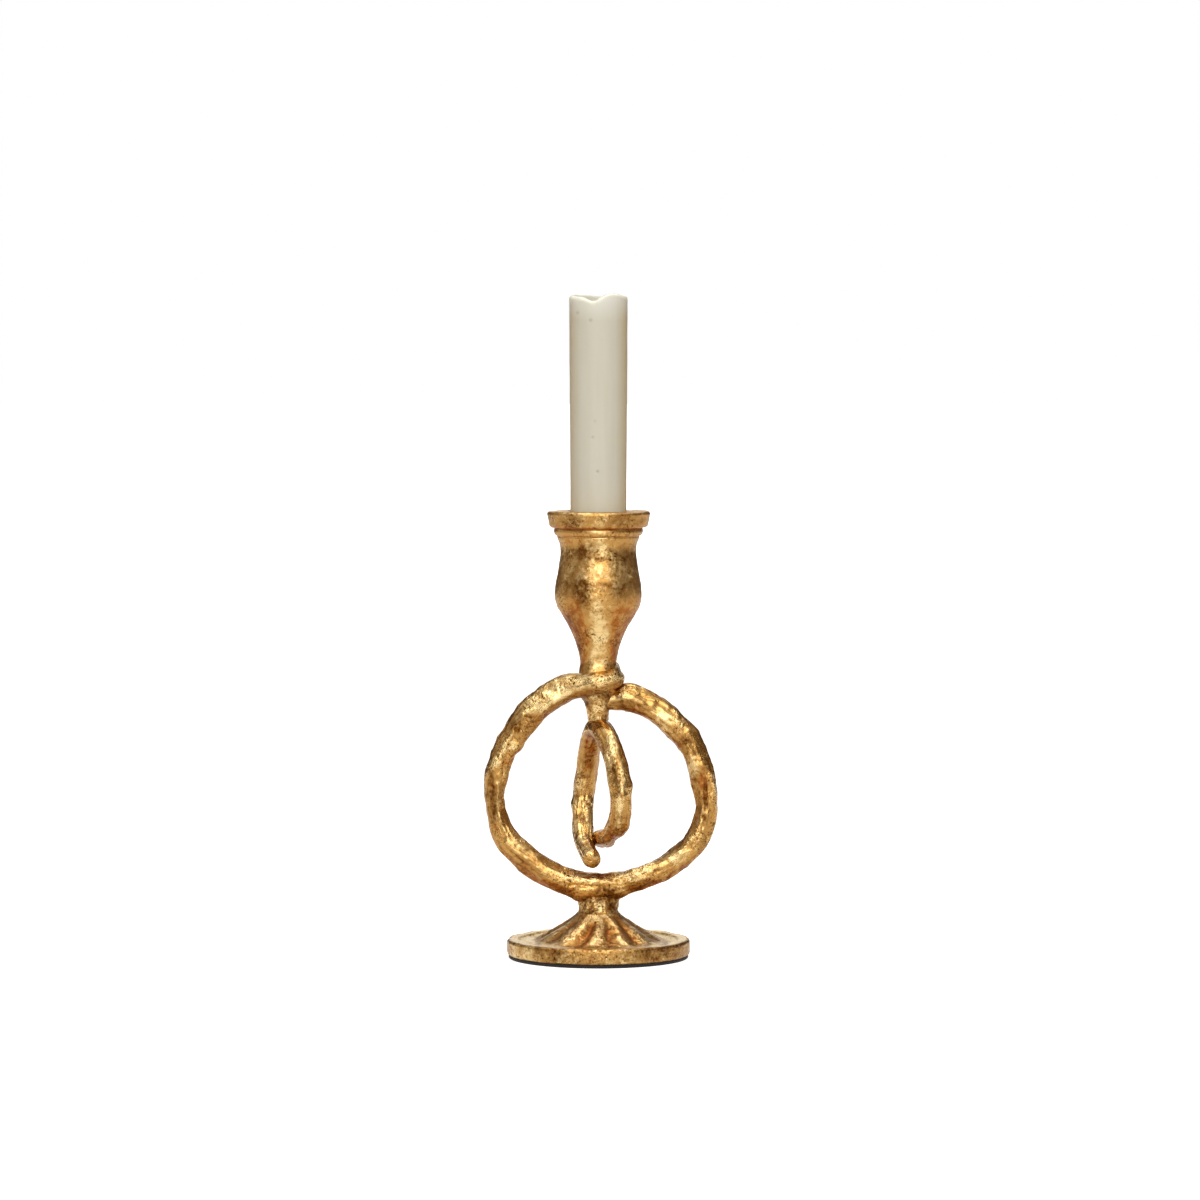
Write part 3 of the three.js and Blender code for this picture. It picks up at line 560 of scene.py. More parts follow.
# The rod's start, then the hoop: [angle, share of the ring's radius, share of the rod's thickness]
RING_START = [[86, 0.85, 0.95], [79, 0.865, 0.98]]
HOOP_STATIONS = [
    [70, 0.91, 1.2], [50, 0.935, 1.1], [30, 0.963, 1.05], [10, 1.005, 1.0], [-10, 1.066, 0.89],
    [-30, 1.084, 1.0], [-50, 1.028, 0.95], [-70, 0.98, 0.95], [-90, 0.962, 0.98], [-110, 0.985, 1.08],
    [-130, 0.985, 1.12], [-150, 1.03, 1.02], [-170, 1.018, 0.8], [-190, 0.985, 0.95], [-210, 0.948, 1.05],
    [-230, 0.975, 1.15], [-250, 1.0, 1.12],
]
SWING_FROM = -210
SWING_OVER = 60
SWING_SHARE = 0.6
ROD_SIDES = 76
ROD_STEP = 0.42
END_BULGE = 0.6
END_ROUNDING = [18, 36, 54, 70, 82, 89]
# How far the hammering goes, and how deep a long pit is
RING_HAMMERED = 0.8
SLOT_DEPTH = 0.5
# Knuckles and creases: their length along the rod, how many go round it and their height
KNUCKLE_LENGTH = 13
KNUCKLE_ROUND = 1.1
KNUCKLE_HEIGHT = 1.1
CREASE_LENGTH = 24
CREASE_ROUND = 2.0
CREASE_HEIGHT = 0.9
CREASE_SOFTNESS = 0.16
ROD_SINK = 0.3
ROD_DENTS = [[0.34, 3.6], [0.18, 1.8], [0.05, 1.0]]
END_KEEP = 0.3
END_PLAIN = 0.5
END_FADE = 4
STROKE_LENGTH = 3
# How far a surface tips down before it counts as the underside, which is given painted shade
UNDER_FROM = 0.05
UNDER_FADE = 0.75
# Where the crossing is filed smooth, then where the underside runs into the neck and is left bright, without
# the
# painted underside shade: [across, height, half-width, share]
RING_FILED = [[-1, 107.5, 12, 0.75]]
RING_WEB = [[0, 25, 10, 0.85]]
# Knobs and dents: [across, height, half-width, height of the knob]
RING_KNOBS = [[-28.6, 79.8, 2.2, 1.1], [36.2, 86.8, 3.6, 0.9], [13.4, 32.8, 1.4, 0.7],
              [-43.2, 70.5, 3.5, 0.7], [-37.0, 84.0, 1.6, 0.5], [33.6, 82.0, 2.6, -0.45],
              [40.0, 74.5, 2.0, 0.5], [-6.8, 22.6, 4.2, 1.9], [7.4, 23.4, 3.6, 1.4],
              [0.5, 24.2, 5.0, 1.3], [10.2, 111.0, 2.4, -1.3], [6.4, 111.6, 2.2, 1.3]]
# Dark wax with painted shade under the crossing and down the right limb, granular stretches, long pits,
# then painted highlights, with a little painted shade on the right limb: [across, height, half-width,
# half-height, strength]
RING_SPOTS = [[-40.7, 61, 2.6, 9, 0.75], [34.0, 82.3, 2.6, 3.2, 0.9], [40.8, 60.5, 1.3, 9, 0.8],
              [-31, 90, 2.5, 3, 0.7], [-27, 37, 6, 5, 0.45], [14, 30, 10, 2.5, 0.35], [-5, 99, 6, 2, 0.6],
              [8, 98, 5, 2.5, 0.7], [38.5, 62, 3.5, 14, 0.25], [2.2, 25.6, 3.2, 2.6, 1.6],
              [-4.4, 24, 2.0, 1.6, 1.2], [6.2, 24.4, 1.6, 2.2, 1.0]]
RING_COARSE = [[16, 31, 13, 5, 0.9], [-14, 29, 8, 5, 0.5], [-40, 50, 5, 10, 0.6], [8.5, 110, 4, 4, 0.9],
               [2, 26, 7, 3, 0.9], [36, 80, 6, 9, 0.5], [0, 108, 8, 3, 0.75]]
RING_SLOTS = [[-40.8, 69, 0.7, 2, 1.0], [-40.8, 64.6, 0.8, 1.8, 1.0], [-40.2, 57, 0.7, 2.4, 0.9],
              [-30.4, 89, 0.6, 1.7, 1.0], [-31.6, 88.2, 0.6, 1.6, 1.0], [-26.6, 92.6, 1.3, 1.3, 0.7],
              [34.2, 83, 1.2, 1.0, 1.0], [36.6, 78.6, 1.0, 1.4, 0.8], [40.9, 64.5, 0.7, 2, 1.0],
              [41, 59.5, 0.7, 2, 0.9], [40.2, 54.5, 0.7, 1.8, 0.8], [22, 34, 1.6, 0.8, 0.8]]
RING_BURNISH = [[-35.6, 81, 1.0, 3.2, 0.5], [-33, 81.6, 1.0, 3.2, 0.5], [-38.4, 75.4, 1.3, 1.6, 0.5],
                [-24, 97, 4, 3, 0.4], [-14, 103, 5, 2.5, 0.4], [36, 72.5, 2, 4, 0.5], [24, 93, 4, 4, 0.3],
                [30, 38.5, 4, 3, 0.4], [40, 62, 5, 16, -0.15], [0, 109.4, 7, 1.6, 0.1],
                [9.5, 110, 3, 3, 0.3]]
RING_CLOUD = [8, 5.3]
RING_PALE = {"flat": 0.45, "uneven": 0.3, "under": -0.45, "filed": 0.35, "burnish": 1}
RING_WAX = {"slots": 1.2, "spots": 0.8, "cloud": 0.15, "under": 0.45}


def rod(name, stations, side):
    """A closed piece swept through stations of [x, y, z, radius], with rounded ends. Also gives the way along
    the rod and the angle round it of each vertex."""
    line = smooth(stations, ROD_STEP)
    ahead = np.gradient(line[:, :3], axis=0)
    ahead /= np.linalg.norm(ahead, axis=1)[:, None]
    seam = np.array(side, float)
    seams = []
    for direction in ahead:
        seam = seam - direction * (seam @ direction)
        seam /= np.linalg.norm(seam)
        seams.append(seam)
    rounding = np.radians(END_ROUNDING)
    sunk = END_BULGE * np.sin(rounding)[:, None]
    shrunk = np.cos(rounding)
    radius = line[:, 3]
    first = line[0, :3] - ahead[0] * radius[0] * sunk[::-1]
    last = line[-1, :3] + ahead[-1] * radius[-1] * sunk
    centre = np.vstack([first, line[:, :3], last])
    radius = np.concatenate([radius[0] * shrunk[::-1], radius, radius[-1] * shrunk])
    caps = ((len(rounding), len(rounding)), (0, 0))
    ahead = np.pad(ahead, caps, mode="edge")
    seams = np.pad(np.array(seams), caps, mode="edge")
    round_it = np.linspace(0, 2 * np.pi, ROD_SIDES, endpoint=False)
    lifts = np.cross(ahead, seams)
    arms = seams[:, None] * np.cos(round_it)[None, :, None] + lifts[:, None] * np.sin(round_it)[None, :, None]
    piece = skin(name, centre[:, None] + arms * radius[:, None, None], looped=False)
    along = np.repeat(np.arange(len(centre)) * ROD_STEP, ROD_SIDES)
    return piece, along, np.tile(round_it, len(centre))


def knobs(points, places):
    """A sum of round lumps, each [across, height, half-width, strength], alike on front and back."""
    total = np.zeros(len(points))
    for across, height, width, strength in places:
        away = (points[:, 0] - across) ** 2 + (points[:, 2] - height) ** 2
        total += strength * np.exp(-away / width ** 2)
    return total


def underside(piece):
    """How far each vertex of the piece faces down, from 0 to 1."""
    return ramp(UNDER_FROM - normals_of(piece)[:, 2], UNDER_FADE)


def hammer(points, along, angle, drift):
    """Height of a hand-worked rod's surface: knuckles, creases along it where the leaf folds, small dents."""
    across, up = np.cos(angle), np.sin(angle)
    knuckles = np.stack([along / KNUCKLE_LENGTH + drift, KNUCKLE_ROUND * across, KNUCKLE_ROUND * up], axis=1)
    creases = np.stack([along / CREASE_LENGTH - drift, CREASE_ROUND * across, CREASE_ROUND * up], axis=1)
    folded = np.hypot(waver(creases, 1), CREASE_SOFTNESS)
    long_ones = KNUCKLE_HEIGHT * waver(knuckles, 1) + CREASE_HEIGHT * folded - ROD_SINK
    from_end = np.minimum(along - along.min(), along.max() - along)
    inside = END_KEEP + (1 - END_KEEP) * ramp(from_end - END_PLAIN, END_FADE)
    return inside * long_ones + rough(points, ROD_DENTS)


def strokes(along, angle):
    """Where the leaf's strokes lie on a rod: as round it, but drawn out along it."""
    radius = ROD_DIAMETER / 2
    return np.stack([along / STROKE_LENGTH, radius * np.cos(angle), radius * np.sin(angle)], axis=1)


stations = []
for degrees, reach, thickness in [*RING_START, *HOOP_STATIONS]:
    swing = max(0, (SWING_FROM - degrees) / SWING_OVER)
    x = reach * RING_RADIUS * math.cos(math.radians(degrees))
    z = RING_Z + reach * RING_RADIUS * math.sin(math.radians(degrees))
    stations.append([x, -SWING_SHARE * EYE_RADIUS * swing ** 2, z, thickness * ROD_DIAMETER / 2])
for degrees, share in zip(EYE_ANGLES, EYE_DRAW):
    x = EYE_RADIUS * math.cos(math.radians(degrees))
    y = EYE_RADIUS * math.sin(math.radians(degrees))
    z = RING_Z + EYE_FRONT_Z + EYE_RISE * (degrees - 270) / 180
    stations.append([x, y, z, (EYE_ROD_DIAMETER + share * (ROD_DIAMETER - EYE_ROD_DIAMETER)) / 2])
ring, along, angle = rod("gilded_ring", stations, (0, 1, 0))
points = points_of(ring)
uneven = hammer(points, along, angle, drift=0.0)
slots = spots(points, RING_SLOTS)
filed = knobs(points, RING_FILED)
work(ring, uneven * (RING_HAMMERED - filed) + knobs(points, RING_KNOBS) - SLOT_DEPTH * slots)
# Painted shade on the underside, left off where it runs into the neck
under = underside(ring) * (1 - knobs(points, RING_WEB))
ring_pale = tally(RING_PALE, uneven=uneven, under=under, filed=filed, burnish=spots(points, RING_BURNISH))
ring_wax = tally(RING_WAX, slots=slots, spots=spots(points, RING_SPOTS), cloud=cloud(points, *RING_CLOUD),
                 under=under)
mark(ring, relief=ring_pale, stain=ring_wax, coarse=spots(points, RING_COARSE), lay=strokes(along, angle))
ring.data.materials.append(rough_leaf)
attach(ring, "holder")
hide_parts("ring")

# Loop
# A second, shorter rod bent to a drop, turned almost edge-on inside the ring, its two ends lapped below.
# It is worked as the ring is, and brazed to the boss at its top.
LOOP_TOP_Z = 88.25
LOOP_HEIGHT = 42.23
LOOP_DEPTH = 40
LOOP_PINCH = 0.27
LOOP_ROD_DIAMETER = 8.7
LOOP_TURN = 19
LOOP_BOW = 1.8
LAP_REAR = 0.48
LAP_FRONT = 0.42
LAP_FROM = 90
LAP_EASE = 1.2
NUB_TAPER = 0.2
FRONT_TAPER = 0.15
NUB_DROP = 0.92
FRONT_DROP = 0.3
FRONT_RISE = 0.03
REAR_DROP_FROM = 110
FRONT_DROP_FROM = 155
DROP_EASE = 1.5
REAR_SWEEP = 190
FRONT_SWEEP = 200
LOOP_STATIONS = 16
LOOP_HAMMERED = 0.6
# Knobs and dents, then dark wax, granular stretches and painted highlights, as on the ring
LOOP_KNOBS = [[13.6, 68.1, 2.4, 0.9], [-11.6, 57.2, 2.2, 1.2], [-9.5, 71, 3, -0.4], [12.6, 51.5, 2.2, 0.8],
              [7.5, 44.8, 2.8, -1.1]]
LOOP_SPOTS = [[6.2, 74.6, 2.2, 4, 0.95], [8.2, 70, 2.2, 2.5, 0.6], [-3.5, 62, 1.6, 6, 0.6],
              [-1.5, 80, 3, 4, 0.5], [-6.5, 49, 4, 1.6, 0.45]]
LOOP_COARSE = [[6.2, 72.5, 2.8, 6, 1.0], [-5, 46, 4, 4, 0.6], [-5.5, 60, 2, 8, 0.4]]
LOOP_BURNISH = [[7.8, 58, 1.8, 8, 0.5], [4.2, 81, 1.7, 5, 0.5], [-5.2, 62, 1.3, 9, 0.4],
                [-4, 45.5, 2, 3, 0.3]]
LOOP_CLOUD = [7, 2.9]
LOOP_PALE = {"flat": 0.5, "uneven": 0.3, "under": -0.4, "burnish": 1}
LOOP_WAX = {"spots": 1, "cloud": 0.15, "under": 0.45}
turn = math.radians(LOOP_TURN)
forward = np.array([math.sin(turn), -math.cos(turn), 0])
sideways = np.array([math.cos(turn), math.sin(turn), 0])
stations = []
for degrees in np.linspace(-REAR_SWEEP, FRONT_SWEEP, LOOP_STATIONS):
    rear = degrees < 0
    lap = max(0, (abs(degrees) - LAP_FROM) / (REAR_SWEEP - LAP_FROM)) ** LAP_EASE
    drop_from = REAR_DROP_FROM if rear else FRONT_DROP_FROM
    drop = max(0, (abs(degrees) - drop_from) / (REAR_SWEEP - drop_from)) ** DROP_EASE
    sunk = (NUB_DROP if rear else FRONT_DROP) * LOOP_ROD_DIAMETER * drop
    sine, cosine = math.sin(math.radians(degrees)), math.cos(math.radians(degrees))
    offset = LOOP_BOW * sine ** 2 + (-LAP_REAR if rear else LAP_FRONT) * LOOP_ROD_DIAMETER * lap
    reach = LOOP_DEPTH / 2 * sine * (1 - LOOP_PINCH * cosine)
    shorter = 0 if rear else FRONT_RISE
    height = LOOP_TOP_Z + LOOP_HEIGHT / 2 * (1 - shorter) * (cosine - 1) - sunk
    at = forward * reach + sideways * offset
    taper = (NUB_TAPER if rear else FRONT_TAPER) * lap
    stations.append([at[0], at[1], height, LOOP_ROD_DIAMETER / 2 * (1 - taper)])
loop, along, angle = rod("gilded_loop", stations, sideways)
points = points_of(loop)
uneven = hammer(points, along, angle, drift=4.7)
work(loop, uneven * LOOP_HAMMERED + knobs(points, LOOP_KNOBS))
# Painted shade on the underside
under = underside(loop)
loop_pale = tally(LOOP_PALE, uneven=uneven, under=under, burnish=spots(points, LOOP_BURNISH))
loop_wax = tally(LOOP_WAX, spots=spots(points, LOOP_SPOTS), cloud=cloud(points, *LOOP_CLOUD), under=under)
mark(loop, relief=loop_pale, stain=loop_wax, coarse=spots(points, LOOP_COARSE), lay=strokes(along, angle))
loop.data.materials.append(rough_leaf)
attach(loop, "holder")
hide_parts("loop")

# Drop boss
# The tapered lower end of the stem, under the crossing: a cast plug with a stud up its middle.
# Its narrow end is brazed over the top of the loop and filed to rough flats.
JOINT_Z = 102.7
BOSS_END = [3.5, -11.6]
BOSS_SHAPE = [[3.8, -11.4], [4.1, -8.4], [5.0, -5.4], [6.5, -2.6], [6.7, 0.0]]
BOSS_STEP = 0.4
BOSS_SIDES = 96
BOSS_PLAIN_INSIDE = 3
BOSS_WAVES = [[0.5, 4.5, 1.7], [0.25, 2], [0.1, 1.0]]
STUD_HOLE_RADIUS = 2.25
STUD_HOLE_DEPTH = -7.2
# Painted shade in the recesses under the crossing and where the boss meets the loop: [across, height,
# half-width, half-height, strength]
BOSS_SPOTS = [[-5.4, 98.6, 2.2, 2.6, 1.8], [4.4, 97, 1.8, 4, 1.4], [0, 101, 4, 1.2, 0.8],
              [0, 91.8, 3, 1.0, 0.4]]
# A painted highlight on the front of the boss
BOSS_BURNISH = [[0, 96, 2.2, 3, 0.4]]
BOSS_PALE = {"flat": 0.5, "uneven": 0.6, "burnish": 1, "under": -0.3}
BOSS_GRAIN = 0.5
boss_profile = np.vstack([
    [[AXIS, BOSS_END[1]], BOSS_END],
    smooth(BOSS_SHAPE, BOSS_STEP),
    [[STUD_HOLE_RADIUS, 0], [STUD_HOLE_RADIUS, STUD_HOLE_DEPTH], [AXIS, STUD_HOLE_DEPTH]],
])
boss_profile[:, 1] += JOINT_Z
boss = skin("gilded_boss", turned(boss_profile, BOSS_SIDES), looped=False)
points = points_of(boss)
uneven = rough(points, BOSS_WAVES)
work(boss, uneven * (from_axis(points) > BOSS_PLAIN_INSIDE))
# The boss's underside gets painted shade too
boss_pale = tally(BOSS_PALE, uneven=uneven, burnish=spots(points, BOSS_BURNISH), under=underside(boss))
boss_wax = spots(points, BOSS_SPOTS)
mark(boss, relief=boss_pale, stain=boss_wax, coarse=np.full(len(points), BOSS_GRAIN), lay=points)
boss.data.materials.append(rough_leaf)
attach(boss, "holder")
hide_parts("drop_boss")

# Cup stud
# A length of zinc plated threaded rod through the ring's eye, from the boss up into the cup's stem.
# Nothing of it shows once the holder is together.
finish_node("cup_stud", zinc)

# Candle cup
# An aluminium casting, turned on a lathe: stem, swelling taper, belly, waist, bead and a broad flat rim.
# Its leaf is smoother than the rod's, with clouds of toning wax and, at waist and belly, dark patches that
# are painted reflections; the taper has painted shade on its flanks.
STEM_RADIUS = 6.7
STEM_TOP = 12
SOCKET_RADIUS = 11.2
SOCKET_FLOOR = 43.4
SOCKET_CHAMFER = 0.8
SOCKET_WALL_FROM = 1.2
SOCKET_STEP = 2.0
RIM_Z = 68.4
RIM_RADIUS = 19.5
RIM_UNDER_RADIUS = 18.7
RIM_UNDER_Z = 62.8
RIM_ROUND = 0.8
RIM_SIDE_IN = 0.1
RIM_SIDE_UP = 1.2
STUD_IN_CUP = 14.25
CUP_SHAPE = [[6.8, 0.6], [7.0, 3.0], [7.2, 5.6], [6.9, 8.6], [6.7, 11.4], [8.25, 17.72], [10.77, 23.6],
             [14.17, 29.76], [15.72, 32.84], [16.4, 39.0], [14.2, 53.2], [15.4, 58.9]]
BEAD_SHAPE = [[15.4, 58.9], [15.35, 59.4], [16.3, 59.8], [16.7, 60.8], [16.6, 61.9], [16.3, 62.4],
              [16.6, 62.75]]
CUP_SIDES = 260
CUP_STEP = 0.42
CUP_SWELL = 0.25
CUP_SOLID_TO = 30
CUP_PLAIN_INSIDE = 4
SOCKET_PLAIN = 0.3
CUP_WAVES = [[0.3, 11], [0.13, 4.2], [0.06, 1.8], [0.03, 0.9]]
GROOVE_BELOW_RIM = 0.2
GROOVE_WIDTH = 0.7
# Lumps of braze in the corner between stem and crossing: [across, height, half-width, height of the lump]
CUP_BRAZE = [[-4.4, 107.6, 3.6, 0.6], [-0.3, 107.6, 3.6, 0.4], [3.8, 107.4, 3.6, 0.7]]
BRAZE_WAVES = [[0.2, 2.2]]
BRAZE_FADE = 4
BRAZE_WITHIN = 9
# Dark wax, painted dark reflections at waist and belly and painted shade on the taper's flanks,
# then painted highlights and painted flank shade: [across, height, half-width, half-height, strength]
CUP_SPOTS = [[-4.8, 156.3, 4.2, 2.8, 1.3], [-6.0, 141.5, 2.6, 5.4, 1.4], [7.8, 142, 3.6, 4.4, 0.7],
             [10.0, 154.4, 3.6, 3.6, 0.7], [-10.0, 167.8, 4, 2.2, 0.9], [8.5, 168, 4, 2.4, 0.5],
             [-11.4, 143, 1.8, 4, 0.45], [-12.5, 153.5, 2.4, 4, 0.35], [13.6, 150, 1.6, 8, 0.35],
             [-2, 147.6, 8, 0.9, 0.25], [-10.4, 130, 3.2, 5, 0.75], [-7, 120, 2.2, 7, 0.75],
             [10.6, 130, 3.2, 5, 0.45], [7, 120, 2.2, 7, 0.6], [0, 143.4, 9, 2.0, 0.6],
             [0.5, 154, 6.5, 1.2, 0.7], [4, 168, 12, 2.6, 0.25]]
# Painted highlights down the taper's front and on waist and belly, then painted shade on the taper's flanks
CUP_BURNISH = [[0, 125, 4.4, 12, 0.65], [1, 149.8, 8, 2.2, 0.15], [-0.5, 159, 4.5, 2.2, 0.3],
               [0.5, 168, 5, 2.4, 0.15], [-9.6, 129, 3.4, 6, -0.8], [-6.4, 119, 2.4, 8, -0.8],
               [9.6, 129, 3.4, 6, -0.7], [6.4, 119, 2.4, 8, -0.8]]
CUP_CLOUD = [9, 6.4]
CUP_PALE = {"flat": 0.43, "uneven": 0.7, "burnish": 1, "groove": -0.3, "under": -0.4, "braze": -0.25}
CUP_WAX = {"spots": 1, "cloud": 0.25, "braze": 0.25}
rim_side = [[RIM_UNDER_RADIUS + RIM_SIDE_IN, RIM_UNDER_Z + RIM_SIDE_UP],
            [RIM_RADIUS, RIM_Z - RIM_ROUND - RIM_SIDE_IN]]
cup_profile = np.vstack([
    [[AXIS, STUD_IN_CUP], [STUD_HOLE_RADIUS, STUD_IN_CUP], [STUD_HOLE_RADIUS, 0], [STEM_RADIUS, 0]],
    smooth(CUP_SHAPE, CUP_STEP),
    smooth(BEAD_SHAPE, CUP_STEP)[1:],
    corner(RIM_UNDER_RADIUS - RIM_ROUND, RIM_UNDER_Z + RIM_ROUND, RIM_ROUND, -90, -10),
    spaced(rim_side, CUP_STEP),
    corner(RIM_RADIUS - RIM_ROUND, RIM_Z - RIM_ROUND, RIM_ROUND, 5, 90),
    spaced([[RIM_RADIUS - RIM_ROUND - PAST_CORNER, RIM_Z], [SOCKET_RADIUS + SOCKET_CHAMFER, RIM_Z]],
           CUP_STEP),
    [[SOCKET_RADIUS, RIM_Z - SOCKET_CHAMFER]],
    spaced([[SOCKET_RADIUS, RIM_Z - SOCKET_WALL_FROM], [SOCKET_RADIUS, SOCKET_FLOOR]], SOCKET_STEP),
    [[AXIS, SOCKET_FLOOR]],
])
cup_profile[:, 1] += JOINT_Z
cup = skin("gilded_candle_cup", turned(cup_profile, CUP_SIDES), looped=False)
points = points_of(cup)
out = from_axis(points)
stem_side = (points[:, 2] < JOINT_Z + CUP_SOLID_TO) & (out > CUP_PLAIN_INSIDE)
seen = (out > SOCKET_RADIUS + SOCKET_PLAIN) | stem_side
uneven = rough(points, CUP_WAVES)
braze = knobs(points, CUP_BRAZE) * ramp(-points[:, 1], BRAZE_FADE) * (out < BRAZE_WITHIN)
work(cup, (CUP_SWELL + uneven + braze * (1 + rough(points, BRAZE_WAVES))) * seen)
groove = np.exp(-((points[:, 2] - JOINT_Z - RIM_UNDER_Z + GROOVE_BELOW_RIM) / GROOVE_WIDTH) ** 2)
# Painted shade on the cup's underside, above the stem
under = underside(cup) * (points[:, 2] > JOINT_Z + STEM_TOP)
cup_pale = tally(CUP_PALE, uneven=uneven, burnish=spots(points, CUP_BURNISH), groove=groove, under=under,
                 braze=braze)
# The dark spots hold wax, painted reflections and painted shade
cup_wax = tally(CUP_WAX, spots=spots(points, CUP_SPOTS), cloud=cloud(points, *CUP_CLOUD), braze=braze)
mark(cup, relief=cup_pale, stain=cup_wax, coarse=braze, lay=points)
turned_leaf = gold_leaf("gold leaf over bole, turned cup", crinkle=0.035, gloss=0.36, mottling=1.0)
cup.data.materials.append(turned_leaf)
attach(cup, "holder")
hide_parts("candle_cup")

# Candle
# A moulded ivory taper of paraffin with some stearin, burnt down a little: its rim has melted uneven round a
# shallow crater, which has painted shade. The wax is cloudy, so light goes into it, and its skin has a few
# small bubbles.
CANDLE_Z = 146.1
CANDLE_LENGTH = 106.8
CANDLE_BASE_RADIUS = 10.7
CANDLE_BASE_ROUND = 1.2
CANDLE_TOP_RADIUS = 11.1
CANDLE_STRAIGHT = 25
CANDLE_SIDES = 220
CANDLE_STEP = 0.45
HIDDEN_STEP = 2.0
BORE_STEP = 6.0
CRATER_WALL = 2.2
CRATER_DEPTH = 6
CRATER_STEP = 0.4
MELT_REACH = 8
MELT_FLAT = 2
MELT_OFF_WICK = 2
LIP_FROM = 3
# Humps and notches of the melted rim: [degrees from the right, half-width in degrees, height]
MELTED_RIM = [[-58, 32, 1.4], [150, 55, 0.8], [-100, 18, -1.9]]
RIM_RIPPLE = [[0.25, 5, 8.8]]
WICK_BORE = 1.15
WICK_BORE_FROM = 0.4
WICK_START = 5
CANDLE_WAVES = [[0.06, 9]]
CANDLE_WAVES_FADE = 4
CANDLE_SKIN = 0.2
# Bubbles in the skin: [across, height, half-width, depth]
CANDLE_BUBBLES = [[-0.4, 186.7, 0.5, 0.3], [-2.3, 199.7, 0.45, 0.2], [-1.5, 205.8, 0.4, 0.15],
                  [-8.0, 246.8, 0.5, 0.2], [-3.1, 244.0, 0.6, 0.18]]
BUBBLE_DARK = 1.6
# How far painted shade darkens the wax on its right and left side, painted light pales it at its rim, and
# painted shade darkens its crater
AGED_RIGHT = 0.9
AGED_LEFT = 0.6
AGED_FROM = 0.6
THIN = 0.7
THIN_REACH = 9
SMOKE = 0.45
SMOKE_FROM = 0.1
SMOKE_FADE = 0.8
WAX_IVORY = "c4c1af"
WAX_PALE = "ccc9bc"
WAX_AGED = "c3b28c"
WAX_THIN = "dfe1da"
BUBBLE_SHADE = "7d7454"
WAX_STREAK_WIDTH = 2.5
WAX_STREAK_LENGTH = 30
WAX_BLOOM = 1.2
WAX_BLOOM_DEPTH = 0.06
WAX_SCATTER = 3.0


def ivory_wax():
    """Stearin wax: cloudy, satin, scattering light a few millimetres deep, faintly streaked by the mould.
    It has painted shade on its sides, painted light where the rim is thin, dark bubbles and painted shade in
    its crater."""
    material, tree, shader, place = start_material("stearin wax, moulded")
    streak_scale = (per_metre(WAX_STREAK_WIDTH), per_metre(WAX_STREAK_WIDTH), per_metre(WAX_STREAK_LENGTH))
    drawn_out = add(tree, "Mapping", {"Vector": place, "Scale": streak_scale})
    streaks = add(tree, "TexNoise", {
        "Vector": drawn_out.outputs[0], "Scale": 1, "Detail": 4}).outputs["Fac"]
    wax = add(tree, "Mix", {
        0: streaks, 6: linear(WAX_IVORY), 7: linear(WAX_PALE)}, data_type="RGBA").outputs[2]
    # Painted shade on the flanks
    aged = add(tree, "Attribute", {}, attribute_name="aged").outputs["Fac"]
    yellowed = add(tree, "Mix", {
        0: aged, 6: wax, 7: linear(WAX_AGED)}, data_type="RGBA").outputs[2]
    # Painted light at the thin top rim
    thin = add(tree, "Attribute", {}, attribute_name="thin").outputs["Fac"]
    paler = add(tree, "Mix", {
        0: thin, 6: yellowed, 7: linear(WAX_THIN)}, data_type="RGBA").outputs[2]
    # Dark bubbles, and painted shade in the crater
    bubble = add(tree, "Attribute", {}, attribute_name="bubble").outputs["Fac"]
    colour = add(tree, "Mix", {
        0: bubble, 6: paler, 7: linear(BUBBLE_SHADE)}, data_type="RGBA").outputs[2]
    gloss = add(tree, "MapRange", {"Value": streaks, "To Min": 0.5, "To Max": 0.38}).outputs[0]
    bloom = add(tree, "TexNoise", {
        "Vector": place, "Scale": per_metre(WAX_BLOOM), "Detail": 3}).outputs["Fac"]
    waves = add(tree, "Bump", {
        "Height": bloom, "Strength": 0.25, "Distance": WAX_BLOOM_DEPTH * MM}).outputs["Normal"]
    tree.links.new(colour, shader.inputs["Base Color"])
    tree.links.new(gloss, shader.inputs["Roughness"])
    tree.links.new(waves, shader.inputs["Normal"])
    shader.inputs["IOR"].default_value = 1.44
    shader.inputs["Subsurface Weight"].default_value = 0.7
    shader.inputs["Subsurface Radius"].default_value = (1.0, 0.85, 0.65)
    shader.inputs["Subsurface Scale"].default_value = WAX_SCATTER * MM
    return material


rim = CANDLE_TOP_RADIUS
melt_z = CANDLE_LENGTH - MELT_REACH
crater_z = CANDLE_LENGTH - CRATER_DEPTH
lip = [
    [rim, melt_z],
    [rim, CANDLE_LENGTH - LIP_FROM],
    [rim, CANDLE_LENGTH - CRATER_WALL / 3],
    [rim - CRATER_WALL / 4, CANDLE_LENGTH],
    [rim - CRATER_WALL * 0.65, CANDLE_LENGTH],
    [rim - CRATER_WALL, CANDLE_LENGTH - CRATER_DEPTH / 3],
    [rim - CRATER_WALL * 1.5, CANDLE_LENGTH - CRATER_DEPTH * 0.75],
    [rim - CRATER_WALL * 2.5, crater_z],
    [WICK_BORE, crater_z],
]
candle_profile = np.vstack([
    spaced([[AXIS, 0], [CANDLE_BASE_RADIUS - CANDLE_BASE_ROUND, 0]], HIDDEN_STEP),
    spaced([[CANDLE_BASE_RADIUS, CANDLE_BASE_ROUND], [CANDLE_BASE_RADIUS, CANDLE_STRAIGHT]], HIDDEN_STEP),
    spaced([[CANDLE_BASE_RADIUS, CANDLE_STRAIGHT], [rim, melt_z]], CANDLE_STEP)[1:],
    smooth(lip, CRATER_STEP)[1:],
    spaced([[WICK_BORE, crater_z - WICK_BORE_FROM], [WICK_BORE, WICK_START]], BORE_STEP),
    [[AXIS, WICK_START]],
])
